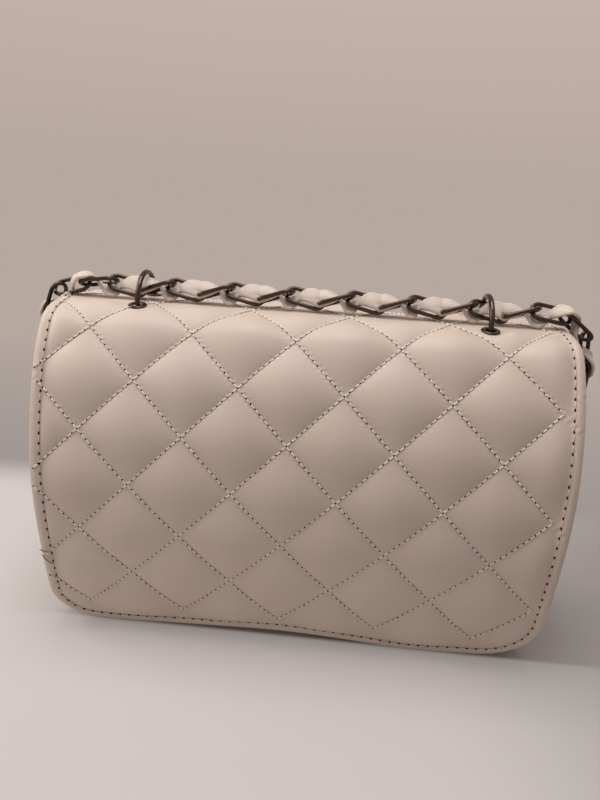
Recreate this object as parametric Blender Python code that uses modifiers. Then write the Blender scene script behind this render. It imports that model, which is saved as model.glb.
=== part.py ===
"""Quilted shoulder bag: a curved pouch under a full-length flap, with a chain and lace strap.

Metres, +Z up. The front faces -Y and the origin is the centre of the flat base, on the floor.
"""

import math

import bmesh
import bpy
import numpy as np
from mathutils import Matrix, Vector

# Clearances
SEAT_GAP = 0.0003
EYELET_PLAY = 0.0003
CUT_OVERRUN = 0.002
FACET_SAG = 0.00008
MERGE_DISTANCE = 0.00001

# Side view of the outer leather, from the flap's lower edge up over the crest and down the back
CREST_RISE = 0.0197
HEM_FRONT = 0.0241
HEM_HEIGHT = 0.003
HEM_ARC_RADIUS = 0.170
BELLY_ARC_RADIUS = 0.132
SHOULDER_ARC_RADIUS = 0.084
CREST_ARC_RADIUS = 0.0179
REAR_ARC_RADIUS = 0.0125
BACK_ARC_RADIUS = 0.420
BELLY_ANGLE = math.radians(0.0)
SHOULDER_ANGLE = math.radians(26.0)
CREST_ANGLE = math.radians(40.5)
TOP_ANGLE = math.radians(83.0)
BACK_ANGLE = math.radians(180.0)

# Outer leather
BAG_WIDTH = 0.221
PANEL_CORNER_RADIUS = 0.020
FLAP_THICKNESS = 0.0024
BACK_THICKNESS = 0.0016
EDGE_ROUNDING = 0.0004
FOLD_AHEAD_OF_EYELET = 0.0090
FOLD_GAP = 0.0005
BACK_EDGE_RISE = 0.0008
FLAP_LINING_THICKNESS = 0.0010
FLAP_LINING_INSET = 0.0020

# Quilting: diamonds on their points, laid out from one crossing of the seams
QUILT_X = -0.005
QUILT_ALONG = 0.1423
QUILT_ACROSS = 0.0214
QUILT_DOWN = 0.02175
QUILT_PUFF = 0.0030
QUILT_SEAM_DEPTH = 0.0009
QUILT_BORDER = 0.0045
QUILT_EDGE_RISE = 0.010
CREST_FLAT = 0.007
CREST_FADE = 0.017
EYELET_FLAT = 0.009
EYELET_FADE = 0.016
FOLD_FLAT = 0.002
FOLD_FADE = 0.011
CORNER_CORE = 0.004
ROW_SPACE = 0.0014
FINE_ROW_RADIUS = 0.100
BACK_PUFF_SHARE = 0.75
BACK_SEAM_SHARE = 0.55
BACK_FADE = 0.010
QUILT_LAST_ACROSS = 5
QUILT_LAST_DOWN = 6
QUILT_ROUNDNESS = 0.72
EDGE_ROUNDNESS = 0.6

# Pouch
MOUTH_HEIGHT = 0.126
FRONT_THICKNESS = 0.0016
FRONT_INSET = 0.0020
FRONT_EDGE_RISE = 0.0012
GUSSET_THICKNESS = 0.0014
GUSSET_INSET = 0.0012
GUSSET_FOLD_DEPTH = 0.009
GUSSET_DROP = 0.004
STIFFENER_THICKNESS = 0.0010
STIFFENER_INSET = 0.0035
STIFFENER_DROP = 0.006
LINING_THICKNESS = 0.0008
LINING_DROP = 0.003
LINING_SIDE_PLAY = 0.0009
BOARD_THICKNESS = 0.0012
BOARD_END_INSET = 0.006
BOARD_SIDE_INSET = 0.0012
BOARD_CORNER_RADIUS = 0.006
FACING_THICKNESS = 0.0008
FACING_INSET = 0.003
FACING_LINING_GAP = 0.0011

# Eyelets, washers and rings
EYELET_SPACING = 0.150
FLAT_AHEAD_OF_EYELET = 0.0035
FLAT_BEHIND_EYELET = 0.0045
EYELET_BORE_RADIUS = 0.0020
EYELET_BARREL_WALL = 0.0005
EYELET_FLANGE_RADIUS = 0.0040
EYELET_FLANGE_HEIGHT = 0.0008
EYELET_LIP_RADIUS = 0.0032
EYELET_LIP_HEIGHT = 0.0005
WASHER_RADIUS = 0.0042
WASHER_THICKNESS = 0.0006
RING_RADIUS = 0.0125
RING_WIRE = 0.0023

# Magnetic snap
SNAP_HEIGHT_UP_FLAP = 0.038
SNAP_STUD_RADIUS = 0.0080
SNAP_STUD_THICKNESS = 0.0010
SNAP_BOSS_RADIUS = 0.0026
SNAP_BOSS_HEIGHT = 0.0012
SNAP_SOCKET_RADIUS = 0.0085
SNAP_SOCKET_THICKNESS = 0.0017
SNAP_POST_RADIUS = 0.0015
SNAP_PLATE_RADIUS = 0.0070
SNAP_PLATE_THICKNESS = 0.0007
SNAP_CLEARANCE = 0.0003

# Chain
LINK_LENGTH = 0.0175
LINK_WIDTH = 0.0088
LINK_WIRE = 0.0018
LINK_PLAY = 0.0004
LINK_WAVE = 0.0015
FUSED_OVERLAP = 0.0006
CHAIN_SHIFT = 0.0039
CHAIN_RIGHT = 0.1225
CHAIN_LEFT = 0.1245
CHAIN_TURN_RADIUS = 0.016
CHAIN_FOOT_RADIUS = 0.024
CHAIN_CORNER_RADIUS = 0.022
CHAIN_ROW = 0.064
CHAIN_BEND_RADIUS = 0.026
CHAIN_BEND_ANGLE = math.radians(42)
CHAIN_STEP = 0.0010
TOP_LINKS = 14
SHOWN_DROP_LINKS = 3
UPRIGHT_ROLL = math.radians(14)
HANGING_ROLL = math.radians(-45)
ROLL_STEP = math.radians(12)

# Lace
LACE_SWING = 0.0042
LACE_WIDTH = 0.0038
LACE_THICKNESS = 0.0018
LACE_CROSSING = 0.0016

# Counts
PANEL_COLUMNS = 2
CORNER_ROWS = 5
POUCH_ROWS = 9
GUSSET_COLUMNS = 6
ROUND_STEPS = 16
RING_STEPS = 28
RING_SIDES = 8
LINK_END_POINTS = 5
FUSED_END_POINTS = 4
LACE_SIDES = 6


# Derived sizes
HALF_WIDTH = BAG_WIDTH / 2
FLAP_DEPTH = FLAP_THICKNESS + SEAT_GAP + FLAP_LINING_THICKNESS
POUCH_FALL = 2 * SEAT_GAP + SNAP_STUD_THICKNESS + SNAP_CLEARANCE + SNAP_SOCKET_THICKNESS
FRONT_DEPTH = FLAP_DEPTH + POUCH_FALL
FRONT_INNER = FRONT_DEPTH + FRONT_THICKNESS
GUSSET_FRONT_DEPTH = FRONT_INNER + SEAT_GAP
GUSSET_BACK_DEPTH = BACK_THICKNESS + SEAT_GAP
FRONT_BOARD_DEPTH = FRONT_INNER + SEAT_GAP
FRONT_LINING_DEPTH = FRONT_BOARD_DEPTH + STIFFENER_THICKNESS + SEAT_GAP
BACK_BOARD_DEPTH = BACK_THICKNESS + SEAT_GAP
BACK_LINING_DEPTH = BACK_BOARD_DEPTH + STIFFENER_THICKNESS + SEAT_GAP
FRONT_HALF_WIDTH = HALF_WIDTH - FRONT_INSET
GUSSET_HALF_WIDTH = FRONT_HALF_WIDTH - GUSSET_INSET
LINING_HALF_WIDTH = GUSSET_HALF_WIDTH - GUSSET_THICKNESS - LINING_SIDE_PLAY
LINING_FLOOR = GUSSET_THICKNESS + SEAT_GAP + BOARD_THICKNESS + SEAT_GAP
TOP_ARC_RADIUS = RING_RADIUS / math.cos(TOP_ANGLE)
TOP_FIRST_ANGLE = TOP_ANGLE - FLAT_AHEAD_OF_EYELET / TOP_ARC_RADIUS
TOP_LAST_ANGLE = math.pi - TOP_ANGLE + FLAT_BEHIND_EYELET / TOP_ARC_RADIUS
CREST_HEIGHT = MOUTH_HEIGHT + CREST_RISE
UPPER_RISE = (
    BELLY_ARC_RADIUS * (math.sin(SHOULDER_ANGLE) - math.sin(BELLY_ANGLE))
    + SHOULDER_ARC_RADIUS * (math.sin(CREST_ANGLE) - math.sin(SHOULDER_ANGLE))
    + CREST_ARC_RADIUS * (math.sin(TOP_FIRST_ANGLE) - math.sin(CREST_ANGLE))
    + TOP_ARC_RADIUS * (1 - math.sin(TOP_FIRST_ANGLE))
)
HEM_ANGLE = BELLY_ANGLE - math.asin((CREST_HEIGHT - HEM_HEIGHT - UPPER_RISE) / HEM_ARC_RADIUS)
LINING_TOP = MOUTH_HEIGHT - LINING_DROP
LINK_PITCH = LINK_LENGTH - 2 * LINK_WIRE - LINK_PLAY
LINK_BEND_RADIUS = (LINK_WIDTH - LINK_WIRE) / 2
FUSED_LENGTH = LINK_PITCH + 2 * LINK_WIRE - FUSED_OVERLAP


def clear_scene():
    for old in list(bpy.data.objects):
        bpy.data.objects.remove(old)


def new_collection(name, shown):
    collection = bpy.data.collections.new(name)
    collection.hide_render = not shown
    bpy.context.scene.collection.children.link(collection)
    return collection


def material(name, colour, roughness, metallic):
    made = bpy.data.materials.new(name)
    made.use_nodes = True
    shader = made.node_tree.nodes["Principled BSDF"]
    shader.inputs["Base Color"].default_value = (*colour, 1)
    shader.inputs["Roughness"].default_value = roughness
    shader.inputs["Metallic"].default_value = metallic
    made.diffuse_color = (*colour, 1)
    return made


def add_object(name, mesh, finish, smooth=True):
    node = bpy.data.objects.new(name, mesh)
    PARTS.objects.link(node)
    if not mesh.materials:
        mesh.materials.append(finish)
    if smooth:
        mesh.shade_smooth()
        mesh.set_sharp_from_angle(angle=math.radians(35))
    return node


def mesh_of(name, points, faces):
    mesh = bpy.data.meshes.new(name)
    mesh.from_pydata(points, [], faces)
    mesh.update()
    return mesh


def solidify(node, thickness):
    shell = node.modifiers.new("thickness", "SOLIDIFY")
    shell.thickness = thickness
    shell.offset = -1
    shell.use_even_offset = True


def round_edges(node, width):
    bevel = node.modifiers.new("rounded edge", "BEVEL")
    bevel.width = width
    bevel.segments = 1
    bevel.limit_method = "ANGLE"
    bevel.angle_limit = math.radians(50)


def cut(node, cutter):
    boolean = node.modifiers.new("cut", "BOOLEAN")
    boolean.operation = "DIFFERENCE"
    boolean.solver = "EXACT"
    boolean.object = cutter


# The outer leather's side view, as arcs that follow one another


def profile_arcs():
    """Each arc as (first angle, last angle, radius, start point), the angle being that of the outward normal."""
    spans = [
        (HEM_ANGLE, BELLY_ANGLE, HEM_ARC_RADIUS),
        (BELLY_ANGLE, SHOULDER_ANGLE, BELLY_ARC_RADIUS),
        (SHOULDER_ANGLE, CREST_ANGLE, SHOULDER_ARC_RADIUS),
        (CREST_ANGLE, TOP_FIRST_ANGLE, CREST_ARC_RADIUS),
        (TOP_FIRST_ANGLE, TOP_LAST_ANGLE, TOP_ARC_RADIUS),
        (TOP_LAST_ANGLE, BACK_ANGLE, REAR_ARC_RADIUS),
    ]
    arcs = []
    y, z = -HEM_FRONT, HEM_HEIGHT
    for first, last, radius in spans:
        arcs.append((first, last, radius, y, z))
        y += radius * (math.cos(first) - math.cos(last))
        z += radius * (math.sin(last) - math.sin(first))
    drop = z - BACK_EDGE_RISE
    lowest = BACK_ANGLE + math.asin(drop / BACK_ARC_RADIUS)
    arcs.append((BACK_ANGLE, lowest, BACK_ARC_RADIUS, y, z))
    return arcs


def arc_length(arc):
    first, last, radius, _, _ = arc
    return radius * (last - first)


def profile_point(along, depth=0.0):
    """(y, z, angle) of the leather at this length from the hem, taken inwards by the depth."""
    left = along
    for arc in ARCS:
        length = arc_length(arc)
        if left <= length or arc is ARCS[-1]:
            break
        left -= length
    first, _, radius, y, z = arc
    angle = first + left / radius
    y += radius * (math.cos(first) - math.cos(angle))
    z += radius * (math.sin(angle) - math.sin(first))
    return y + depth * math.cos(angle), z - depth * math.sin(angle), angle


def back_along(height):
    """The length from the hem at which the back comes down to this height."""
    angle, _, radius, _, top = ARCS[-1]
    return BACK_START + radius * (angle + math.asin((top - height) / radius) - BACK_ANGLE)


def profile_stations(start, end):
    """Lengths from start to end, with a station where arcs join and even steps between, fine enough for the sag."""
    stations = []
    begin = 0.0
    for arc in ARCS:
        length = arc_length(arc)
        low, high = max(begin, start), min(begin + length, end)
        if high > low:
            steps = math.ceil((high - low) / math.sqrt(8 * FACET_SAG * arc[2]))
            stations += [low + (high - low) * step / steps for step in range(steps)]
        begin += length
    return stations + [end]


def half_width_near_edge(distance, half_width, radius):
    """Half the panel's width at this distance from its straight lower edge, inside its round corner."""
    if distance >= radius:
        return half_width
    return half_width - radius + math.sqrt(max(radius**2 - (radius - distance) ** 2, 0.0))


def corner_distances(radius):
    return [radius * (1 - math.cos(math.pi / 2 * row / CORNER_ROWS)) for row in range(CORNER_ROWS + 1)]


def wall_y(front, height, depth):
    """The y of the front or back wall at a height, the wall being this deep under the outer leather."""
    if front:
        reach = [TOP_START * step / WALL_SAMPLES for step in range(WALL_SAMPLES + 1)]
    else:
        reach = [FULL_LENGTH - (FULL_LENGTH - BACK_START) * step / WALL_SAMPLES for step in range(WALL_SAMPLES + 1)]
    points = [profile_point(along, depth) for along in reach]
    return float(np.interp(height, [point[1] for point in points], [point[0] for point in points]))


# Sheets


def grid_faces(rows, columns, flipped=False):
    faces = []
    for row in range(rows - 1):
        for column in range(columns - 1):
            corner = row * columns + column
            face = (corner, corner + 1, corner + columns + 1, corner + columns)
            faces.append(face[::-1] if flipped else face)
    return faces


def profile_sheet(name, start, end, depth, half_width, radius, round_end, finish):
    """A sheet along the side view, with round corners at its start or its end."""
    edge = end if round_end else start
    along_rows = profile_stations(start, end)
    if radius:
        kept = [along for along in along_rows if abs(along - edge) > radius + MERGE_DISTANCE]
        near = corner_distances(radius)
        along_rows = sorted(kept + [edge + (-near_by if round_end else near_by) for near_by in near])
    points = []
    for along in along_rows:
        y, z, _ = profile_point(along, depth)
        half = half_width_near_edge(abs(along - edge), half_width, radius)
        points += [(half * (2 * column / PANEL_COLUMNS - 1), y, z) for column in range(PANEL_COLUMNS + 1)]
    mesh = mesh_of(name, points, grid_faces(len(along_rows), PANEL_COLUMNS + 1))
    return add_object(name, mesh, finish)


def fade_in(distance, clear, full):
    """0 up to the first distance, 1 from the second, and smooth between."""
    share = min(max((distance - clear) / (full - clear), 0.0), 1.0)
    return share * share * (3 - 2 * share)


def edge_distance(x, along):
    """Distance to the leather's outline, which has round corners."""
    radius = PANEL_CORNER_RADIUS
    from_end = min(along, FULL_LENGTH - along)
    from_side = HALF_WIDTH - abs(x)
    if from_end < radius and from_side < radius:
        return radius - math.hypot(radius - from_end, radius - from_side)
    return min(from_end, from_side)


def pillow(distance, reach, power):
    """0 at a seam, rising steeply beside it and level at the reach."""
    return math.sin(math.pi / 2 * min(max(distance / reach, 0.0), 1.0)) ** power


def quilt_height(x, along):
    """How far the padded leather stands over the side view: puffed in each diamond, drawn in at the seams."""
    across = (x - QUILT_X) / QUILT_ACROSS
    down = (QUILT_ALONG - along) / QUILT_DOWN
    kept_across = min(across, QUILT_LAST_ACROSS)
    kept_down = min(down, QUILT_LAST_DOWN)
    past = math.hypot((across - kept_across) * QUILT_ACROSS, (down - kept_down) * QUILT_DOWN)
    slope = math.hypot(1 / QUILT_ACROSS, 1 / QUILT_DOWN)
    puff = 1.0
    for total in (kept_across + kept_down, kept_across - kept_down):
        off = abs(total - 2 * round(total / 2)) / slope
        puff *= pillow(math.hypot(off, past), 1 / slope, QUILT_ROUNDNESS)
    edge = edge_distance(x, along)
    puff *= pillow(edge - QUILT_BORDER, QUILT_EDGE_RISE, EDGE_ROUNDNESS)
    crest_along = (EYELET_ALONG + REAR_EYELET_ALONG) / 2
    back = fade_in(along, crest_along, BACK_START + BACK_FADE)
    seam = QUILT_SEAM_DEPTH * (1 - back * (1 - BACK_SEAM_SHARE)) * min(edge / QUILT_BORDER, 1.0)
    height = QUILT_PUFF * (1 - back * (1 - BACK_PUFF_SHARE)) * puff - seam
    height *= fade_in(abs(along - crest_along), CREST_FLAT, CREST_FADE)
    for eyelet in (EYELET_ALONG, REAR_EYELET_ALONG):
        away = math.hypot(abs(x) - EYELET_SPACING / 2, along - eyelet)
        height *= fade_in(away, EYELET_FLAT, EYELET_FADE)
    if height > 0:
        height *= fade_in(abs(along - FOLD_ALONG), FOLD_FLAT, FOLD_FADE)
    return height


def quilt_steps(start, end, origin, step):
    """Places in step with the quilting between two ends, every half diamond."""
    first = math.ceil((start - origin) / step)
    last = math.floor((end - origin) / step)
    return [origin + step * number for number in range(first, last + 1)]


def spaced(kept, wished, space):
    """The kept places, and those of the wished ones that stand clear of them."""
    found = list(kept)
    for place in wished:
        if all(abs(place - other) > space for other in found):
            found.append(place)
    return sorted(found)


def quilt_rows(start, end, round_end):
    edge = end if round_end else start
    inward = -1 if round_end else 1
    border = edge + inward * QUILT_BORDER
    low, high = (start, border) if round_end else (border, end)
    steps = quilt_steps(low + ROW_SPACE, high - ROW_SPACE, QUILT_ALONG, QUILT_DOWN / 2)
    kept = sorted([start, border, end] + steps)
    corners = [edge + inward * away for away in corner_distances(PANEL_CORNER_RADIUS)]
    near_edge = [place for place in corners if 0 < abs(place - edge) < QUILT_BORDER - ROW_SPACE]
    wished = [place for place in corners if abs(place - edge) > QUILT_BORDER]
    begin = 0.0
    for arc in ARCS:
        if arc[2] < FINE_ROW_RADIUS:
            low, high = max(begin, start), min(begin + arc_length(arc), end)
            wished += [place for place in profile_stations(low, high) if high > low]
        begin += arc_length(arc)
    return sorted(spaced(kept, wished, ROW_SPACE) + near_edge)


def quilted_sheet(name, start, end, thickness, round_end, finish):
    """A closed padded sheet: its outer face follows the quilting, its inner face the plain side view."""
    rows = quilt_rows(start, end, round_end)
    border = HALF_WIDTH - QUILT_BORDER
    inside = quilt_steps(-border + ROW_SPACE, border - ROW_SPACE, QUILT_X, QUILT_ACROSS / 2)
    columns = [-HALF_WIDTH, -border] + inside + [border, HALF_WIDTH]
    core = HALF_WIDTH - PANEL_CORNER_RADIUS - CORNER_CORE
    edge = end if round_end else start
    outer, inner, heights = [], [], []
    for along in rows:
        half = half_width_near_edge(abs(along - edge), HALF_WIDTH, PANEL_CORNER_RADIUS)
        for column in columns:
            over = abs(column) - core
            reach = core + over * (half - core) / (HALF_WIDTH - core) if over > 0 else abs(column)
            x = math.copysign(reach, column)
            heights.append(quilt_height(x, along))
            y, z, _ = profile_point(along, -heights[-1])
            outer.append((x, y, z))
            y, z, _ = profile_point(along, thickness)
            inner.append((x, y, z))
    row_count, width = len(rows), len(columns)
    points = outer + inner
    shift = len(outer)
    faces = []
    for row in range(row_count - 1):
        for column in range(width - 1):
            a = row * width + column
            b, c, d = a + 1, a + width + 1, a + width
            if heights[a] + heights[c] < heights[b] + heights[d]:
                faces += [[a, b, c], [a, c, d]]
            else:
                faces += [[a, b, d], [b, c, d]]
    last = (row_count - 1) * width
    middle = width // 2
    faces.append([shift + index for index in [0, width, width + middle, width + width - 1]
                  + list(range(width - 1, 0, -1))])
    for row in range(1, row_count - 2):
        a = shift + row * width
        faces.append([a, a + width, a + width + middle, a + middle])
        faces.append([a + middle, a + width + middle, a + width + width - 1, a + width - 1])
    before = last - width
    faces.append([shift + index for index in list(range(last, last + width))
                  + [before + width - 1, before + middle, before]])
    for column in range(width - 1):
        faces.append([column + 1, column, shift + column, shift + column + 1])
        faces.append([last + column, last + column + 1, shift + last + column + 1, shift + last + column])
    for row in range(row_count - 1):
        a, b = row * width, (row + 1) * width
        faces.append([a, b, shift + b, shift + a])
        a, b = a + width - 1, b + width - 1
        faces.append([b, a, shift + a, shift + b])
    shell = mesh_of(name, points, faces)
    closed = bmesh.new()
    closed.from_mesh(shell)
    used = [vertex for vertex in closed.verts if not vertex.link_faces]
    bmesh.ops.delete(closed, geom=used, context="VERTS")
    bmesh.ops.recalc_face_normals(closed, faces=closed.faces)
    closed.to_mesh(shell)
    closed.free()
    return add_object(name, shell, finish)


def pouch_rows(half_width, floor, radius, top):
    """(half width, height) of each row of the pouch, from its floor up."""
    rows = [(half_width_near_edge(rise, half_width, radius), floor + rise) for rise in corner_distances(radius)]
    start = floor + radius
    rows += [(half_width, start + (top - start) * row / POUCH_ROWS) for row in range(1, POUCH_ROWS + 1)]
    return rows


def wall_sheet(name, rows, front, depth, finish):
    points = []
    for half, height in rows:
        y = wall_y(front, height, depth)
        points += [(half * (2 * column / PANEL_COLUMNS - 1), y, height) for column in range(PANEL_COLUMNS + 1)]
    mesh = mesh_of(name, points, grid_faces(len(rows), PANEL_COLUMNS + 1, flipped=not front))
    return add_object(name, mesh, finish)


def gusset_shares():
    """Shares across the strip: a flat seam at either edge, and even steps between."""
    inner = GUSSET_COLUMNS - 2
    steps = [SEAM_SHARE + (1 - 2 * SEAM_SHARE) * step / inner for step in range(inner + 1)]
    return [0.0] + steps + [1.0]


def fold_in(height, share_across):
    """How far the side wall folds inwards: nothing at the base and seams, most at the mouth, halfway across."""
    rise = min(max((height - PANEL_CORNER_RADIUS) / (MOUTH_HEIGHT - PANEL_CORNER_RADIUS), 0.0), 1.0)
    across = min(max((share_across - SEAM_SHARE) / (1 - 2 * SEAM_SHARE), 0.0), 1.0)
    return GUSSET_FOLD_DEPTH * rise * math.sin(math.pi * across) ** 2


def strip_points(rows, front_depth, back_depth):
    """Points of the strip that runs down the left side, along the base and up the right side.

    The folds of the gusset and of the lining in it stand at the same places across the bag.
    """
    half_base = rows[0][0]
    path = [(-half, height) for half, height in reversed(rows[1:])]
    path += [(half_base * (2 * c / PANEL_COLUMNS - 1), rows[0][1]) for c in range(PANEL_COLUMNS + 1)]
    path += [(half, height) for half, height in rows[1:]]
    points = []
    for x, height in path:
        front_y = wall_y(True, height, GUSSET_FRONT_DEPTH)
        back_y = wall_y(False, height, GUSSET_BACK_DEPTH)
        across = [(front_y + (back_y - front_y) * share, share) for share in gusset_shares()]
        across[0] = (wall_y(True, height, front_depth), 0.0)
        across[-1] = (wall_y(False, height, back_depth), 1.0)
        for y, share in across:
            inward = fold_in(height, share)
            points.append((x - math.copysign(inward, x), y, height))
    return points, len(path)


# Leather, lining and boards


def make_flap():
    fold = FOLD_ALONG - FOLD_GAP / 2
    panel = quilted_sheet("flap_panel", 0.0, fold, FLAP_THICKNESS, False, LEATHER)
    round_edges(panel, EDGE_ROUNDING)
    lining_start = FLAP_LINING_INSET
    lining_end = fold - FLAP_LINING_INSET
    lining_width = HALF_WIDTH - FLAP_LINING_INSET
    lining_radius = PANEL_CORNER_RADIUS - FLAP_LINING_INSET
    depth = FLAP_THICKNESS + SEAT_GAP
    lining = profile_sheet(
        "flap_lining", lining_start, lining_end, depth, lining_width, lining_radius, False, SMOOTH_LEATHER
    )
    solidify(lining, FLAP_LINING_THICKNESS)
    return panel, lining


def make_back():
    start = FOLD_ALONG + FOLD_GAP / 2
    panel = quilted_sheet("back_panel", start, FULL_LENGTH, BACK_THICKNESS, True, LEATHER)
    facing_end = back_along(LINING_TOP + FACING_LINING_GAP)
    facing = profile_sheet(
        "top_facing",
        start + FACING_INSET,
        facing_end,
        BACK_THICKNESS + SEAT_GAP,
        HALF_WIDTH - FACING_INSET,
        0.0,
        True,
        SMOOTH_LEATHER,
    )
    solidify(facing, FACING_THICKNESS)
    return panel, facing


def make_front():
    rows = pouch_rows(FRONT_HALF_WIDTH, FRONT_EDGE_RISE, PANEL_CORNER_RADIUS - FRONT_INSET, MOUTH_HEIGHT)
    panel = wall_sheet("front_panel", rows, True, FRONT_DEPTH, LEATHER)
    solidify(panel, FRONT_THICKNESS)
    round_edges(panel, EDGE_ROUNDING)
    return panel


def make_stiffeners():
    half = LINING_HALF_WIDTH - STIFFENER_INSET
    floor = LINING_FLOOR + STIFFENER_INSET
    radius = PANEL_CORNER_RADIUS - STIFFENER_INSET
    rows = pouch_rows(half, floor, radius, MOUTH_HEIGHT - STIFFENER_DROP)
    boards = []
    for name, front, depth in (
        ("front_stiffener", True, FRONT_BOARD_DEPTH),
        ("back_stiffener", False, BACK_BOARD_DEPTH),
    ):
        board = wall_sheet(name, rows, front, depth, BOARD)
        solidify(board, STIFFENER_THICKNESS)
        boards.append(board)
    return boards


def make_gusset():
    radius = PANEL_CORNER_RADIUS - FRONT_INSET
    rows = pouch_rows(GUSSET_HALF_WIDTH, 0.0, radius, MOUTH_HEIGHT - GUSSET_DROP)
    points, stations = strip_points(rows, GUSSET_FRONT_DEPTH, GUSSET_BACK_DEPTH)
    mesh = mesh_of("gusset", points, grid_faces(stations, GUSSET_COLUMNS + 1))
    gusset = add_object("gusset", mesh, LEATHER)
    solidify(gusset, GUSSET_THICKNESS)
    return gusset


def make_lining():
    """Front, strip and back share their edges, so the lining is one open pouch."""
    radius = PANEL_CORNER_RADIUS - FRONT_INSET - GUSSET_THICKNESS
    rows = pouch_rows(LINING_HALF_WIDTH, LINING_FLOOR, radius, LINING_TOP)
    strip, stations = strip_points(rows, FRONT_LINING_DEPTH, BACK_LINING_DEPTH)
    pouch = bmesh.new()
    sheets = [(strip, stations, GUSSET_COLUMNS + 1, False)]
    for front, depth in ((True, FRONT_LINING_DEPTH), (False, BACK_LINING_DEPTH)):
        points = []
        for half, height in rows:
            y = wall_y(front, height, depth)
            points += [(half * (2 * c / PANEL_COLUMNS - 1), y, height) for c in range(PANEL_COLUMNS + 1)]
        sheets.append((points, len(rows), PANEL_COLUMNS + 1, not front))
    for points, row_count, column_count, flipped in sheets:
        corners = [pouch.verts.new(point) for point in points]
        for face in grid_faces(row_count, column_count, flipped):
            pouch.faces.new([corners[index] for index in face])
    bmesh.ops.remove_doubles(pouch, verts=pouch.verts, dist=MERGE_DISTANCE)
    mesh = bpy.data.meshes.new("lining")
    pouch.to_mesh(mesh)
    pouch.free()
    lining = add_object("lining", mesh, CLOTH)
    solidify(lining, LINING_THICKNESS)
    return lining


def make_base_board():
    """A flat board with round corners, between the base and the lining."""
    height = GUSSET_THICKNESS + SEAT_GAP
    front_y = wall_y(True, height, FRONT_INNER) + SEAT_GAP + BOARD_SIDE_INSET
    back_y = wall_y(False, height, BACK_THICKNESS) - SEAT_GAP - BOARD_SIDE_INSET
    half = GUSSET_HALF_WIDTH - PANEL_CORNER_RADIUS - BOARD_END_INSET
    corners = [(half, front_y), (half, back_y), (-half, back_y), (-half, front_y)]
    board = bpy.data.curves.new("base_board", "CURVE")
    board.dimensions = "2D"
    board.fill_mode = "BOTH"
    board.extrude = BOARD_THICKNESS / 2
    outline = board.splines.new("POLY")
    points = []
    turns = 4
    for index, (x, y) in enumerate(corners):
        centre_x = x - math.copysign(BOARD_CORNER_RADIUS, x)
        centre_y = y + BOARD_CORNER_RADIUS if y == front_y else y - BOARD_CORNER_RADIUS
        for step in range(turns + 1):
            angle = -math.pi / 2 + math.pi / 2 * (index + step / turns)
            points.append(
                (
                    centre_x + BOARD_CORNER_RADIUS * math.cos(angle),
                    centre_y + BOARD_CORNER_RADIUS * math.sin(angle),
                )
            )
    outline.points.add(len(points) - 1)
    for point, (x, y) in zip(outline.points, points):
        point.co = (x, y, 0, 1)
    outline.use_cyclic_u = True
    node = bpy.data.objects.new("base_board", board)
    node.location.z = height + BOARD_THICKNESS / 2
    PARTS.objects.link(node)
    board.materials.append(BOARD)
    return node


# Turned metal pieces


def facing_out(along, depth, x):
    """Where a piece sits on the leather: its local Z is the outward normal, its origin on that layer."""
    y, z, angle = profile_point(along, depth)
    outward = Vector((0, -math.cos(angle), math.sin(angle)))
    side = Vector((1, 0, 0))
    across = outward.cross(side)
    turn = Matrix((side, across, outward)).transposed().to_4x4()
    return Matrix.Translation((x, y, z)) @ turn


def turned(name, profile, finish, matrix, open_bore=True):
    """A profile of (radius, height) points turned about local Z: closed on itself, or from axis to axis."""
    count = len(profile)
    edges = [(i, (i + 1) % count) for i in range(count if open_bore else count - 1)]
    mesh = bpy.data.meshes.new(name)
    mesh.from_pydata([(r, 0, z) for r, z in profile], edges, [])
    node = add_object(name, mesh, finish, smooth=False)
    screw = node.modifiers.new("turned", "SCREW")
    screw.steps = ROUND_STEPS
    screw.render_steps = ROUND_STEPS
    screw.use_merge_vertices = True
    screw.merge_threshold = MERGE_DISTANCE
    node.matrix_world = matrix
    return node


def cylinder_cutter(name, radius, low, high, matrix):
    bpy.ops.mesh.primitive_cylinder_add(vertices=ROUND_STEPS, radius=radius, depth=high - low)
    cutter = bpy.context.object
    cutter.name = name
    cutter.data.transform(Matrix.Translation((0, 0, (high + low) / 2)))
    cutter.matrix_world = matrix
    for collection in list(cutter.users_collection):
        collection.objects.unlink(cutter)
    CUTTERS.objects.link(cutter)
    cutter.hide_render = True
    cutter.display_type = "WIRE"
    return cutter


def eyelet_places():
    for side_name, side in (("left", -1), ("right", 1)):
        for row_name, along in (("front", EYELET_ALONG), ("rear", REAR_EYELET_ALONG)):
            yield f"{row_name}_{side_name}", facing_out(along, 0.0, side * EYELET_SPACING / 2)


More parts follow.
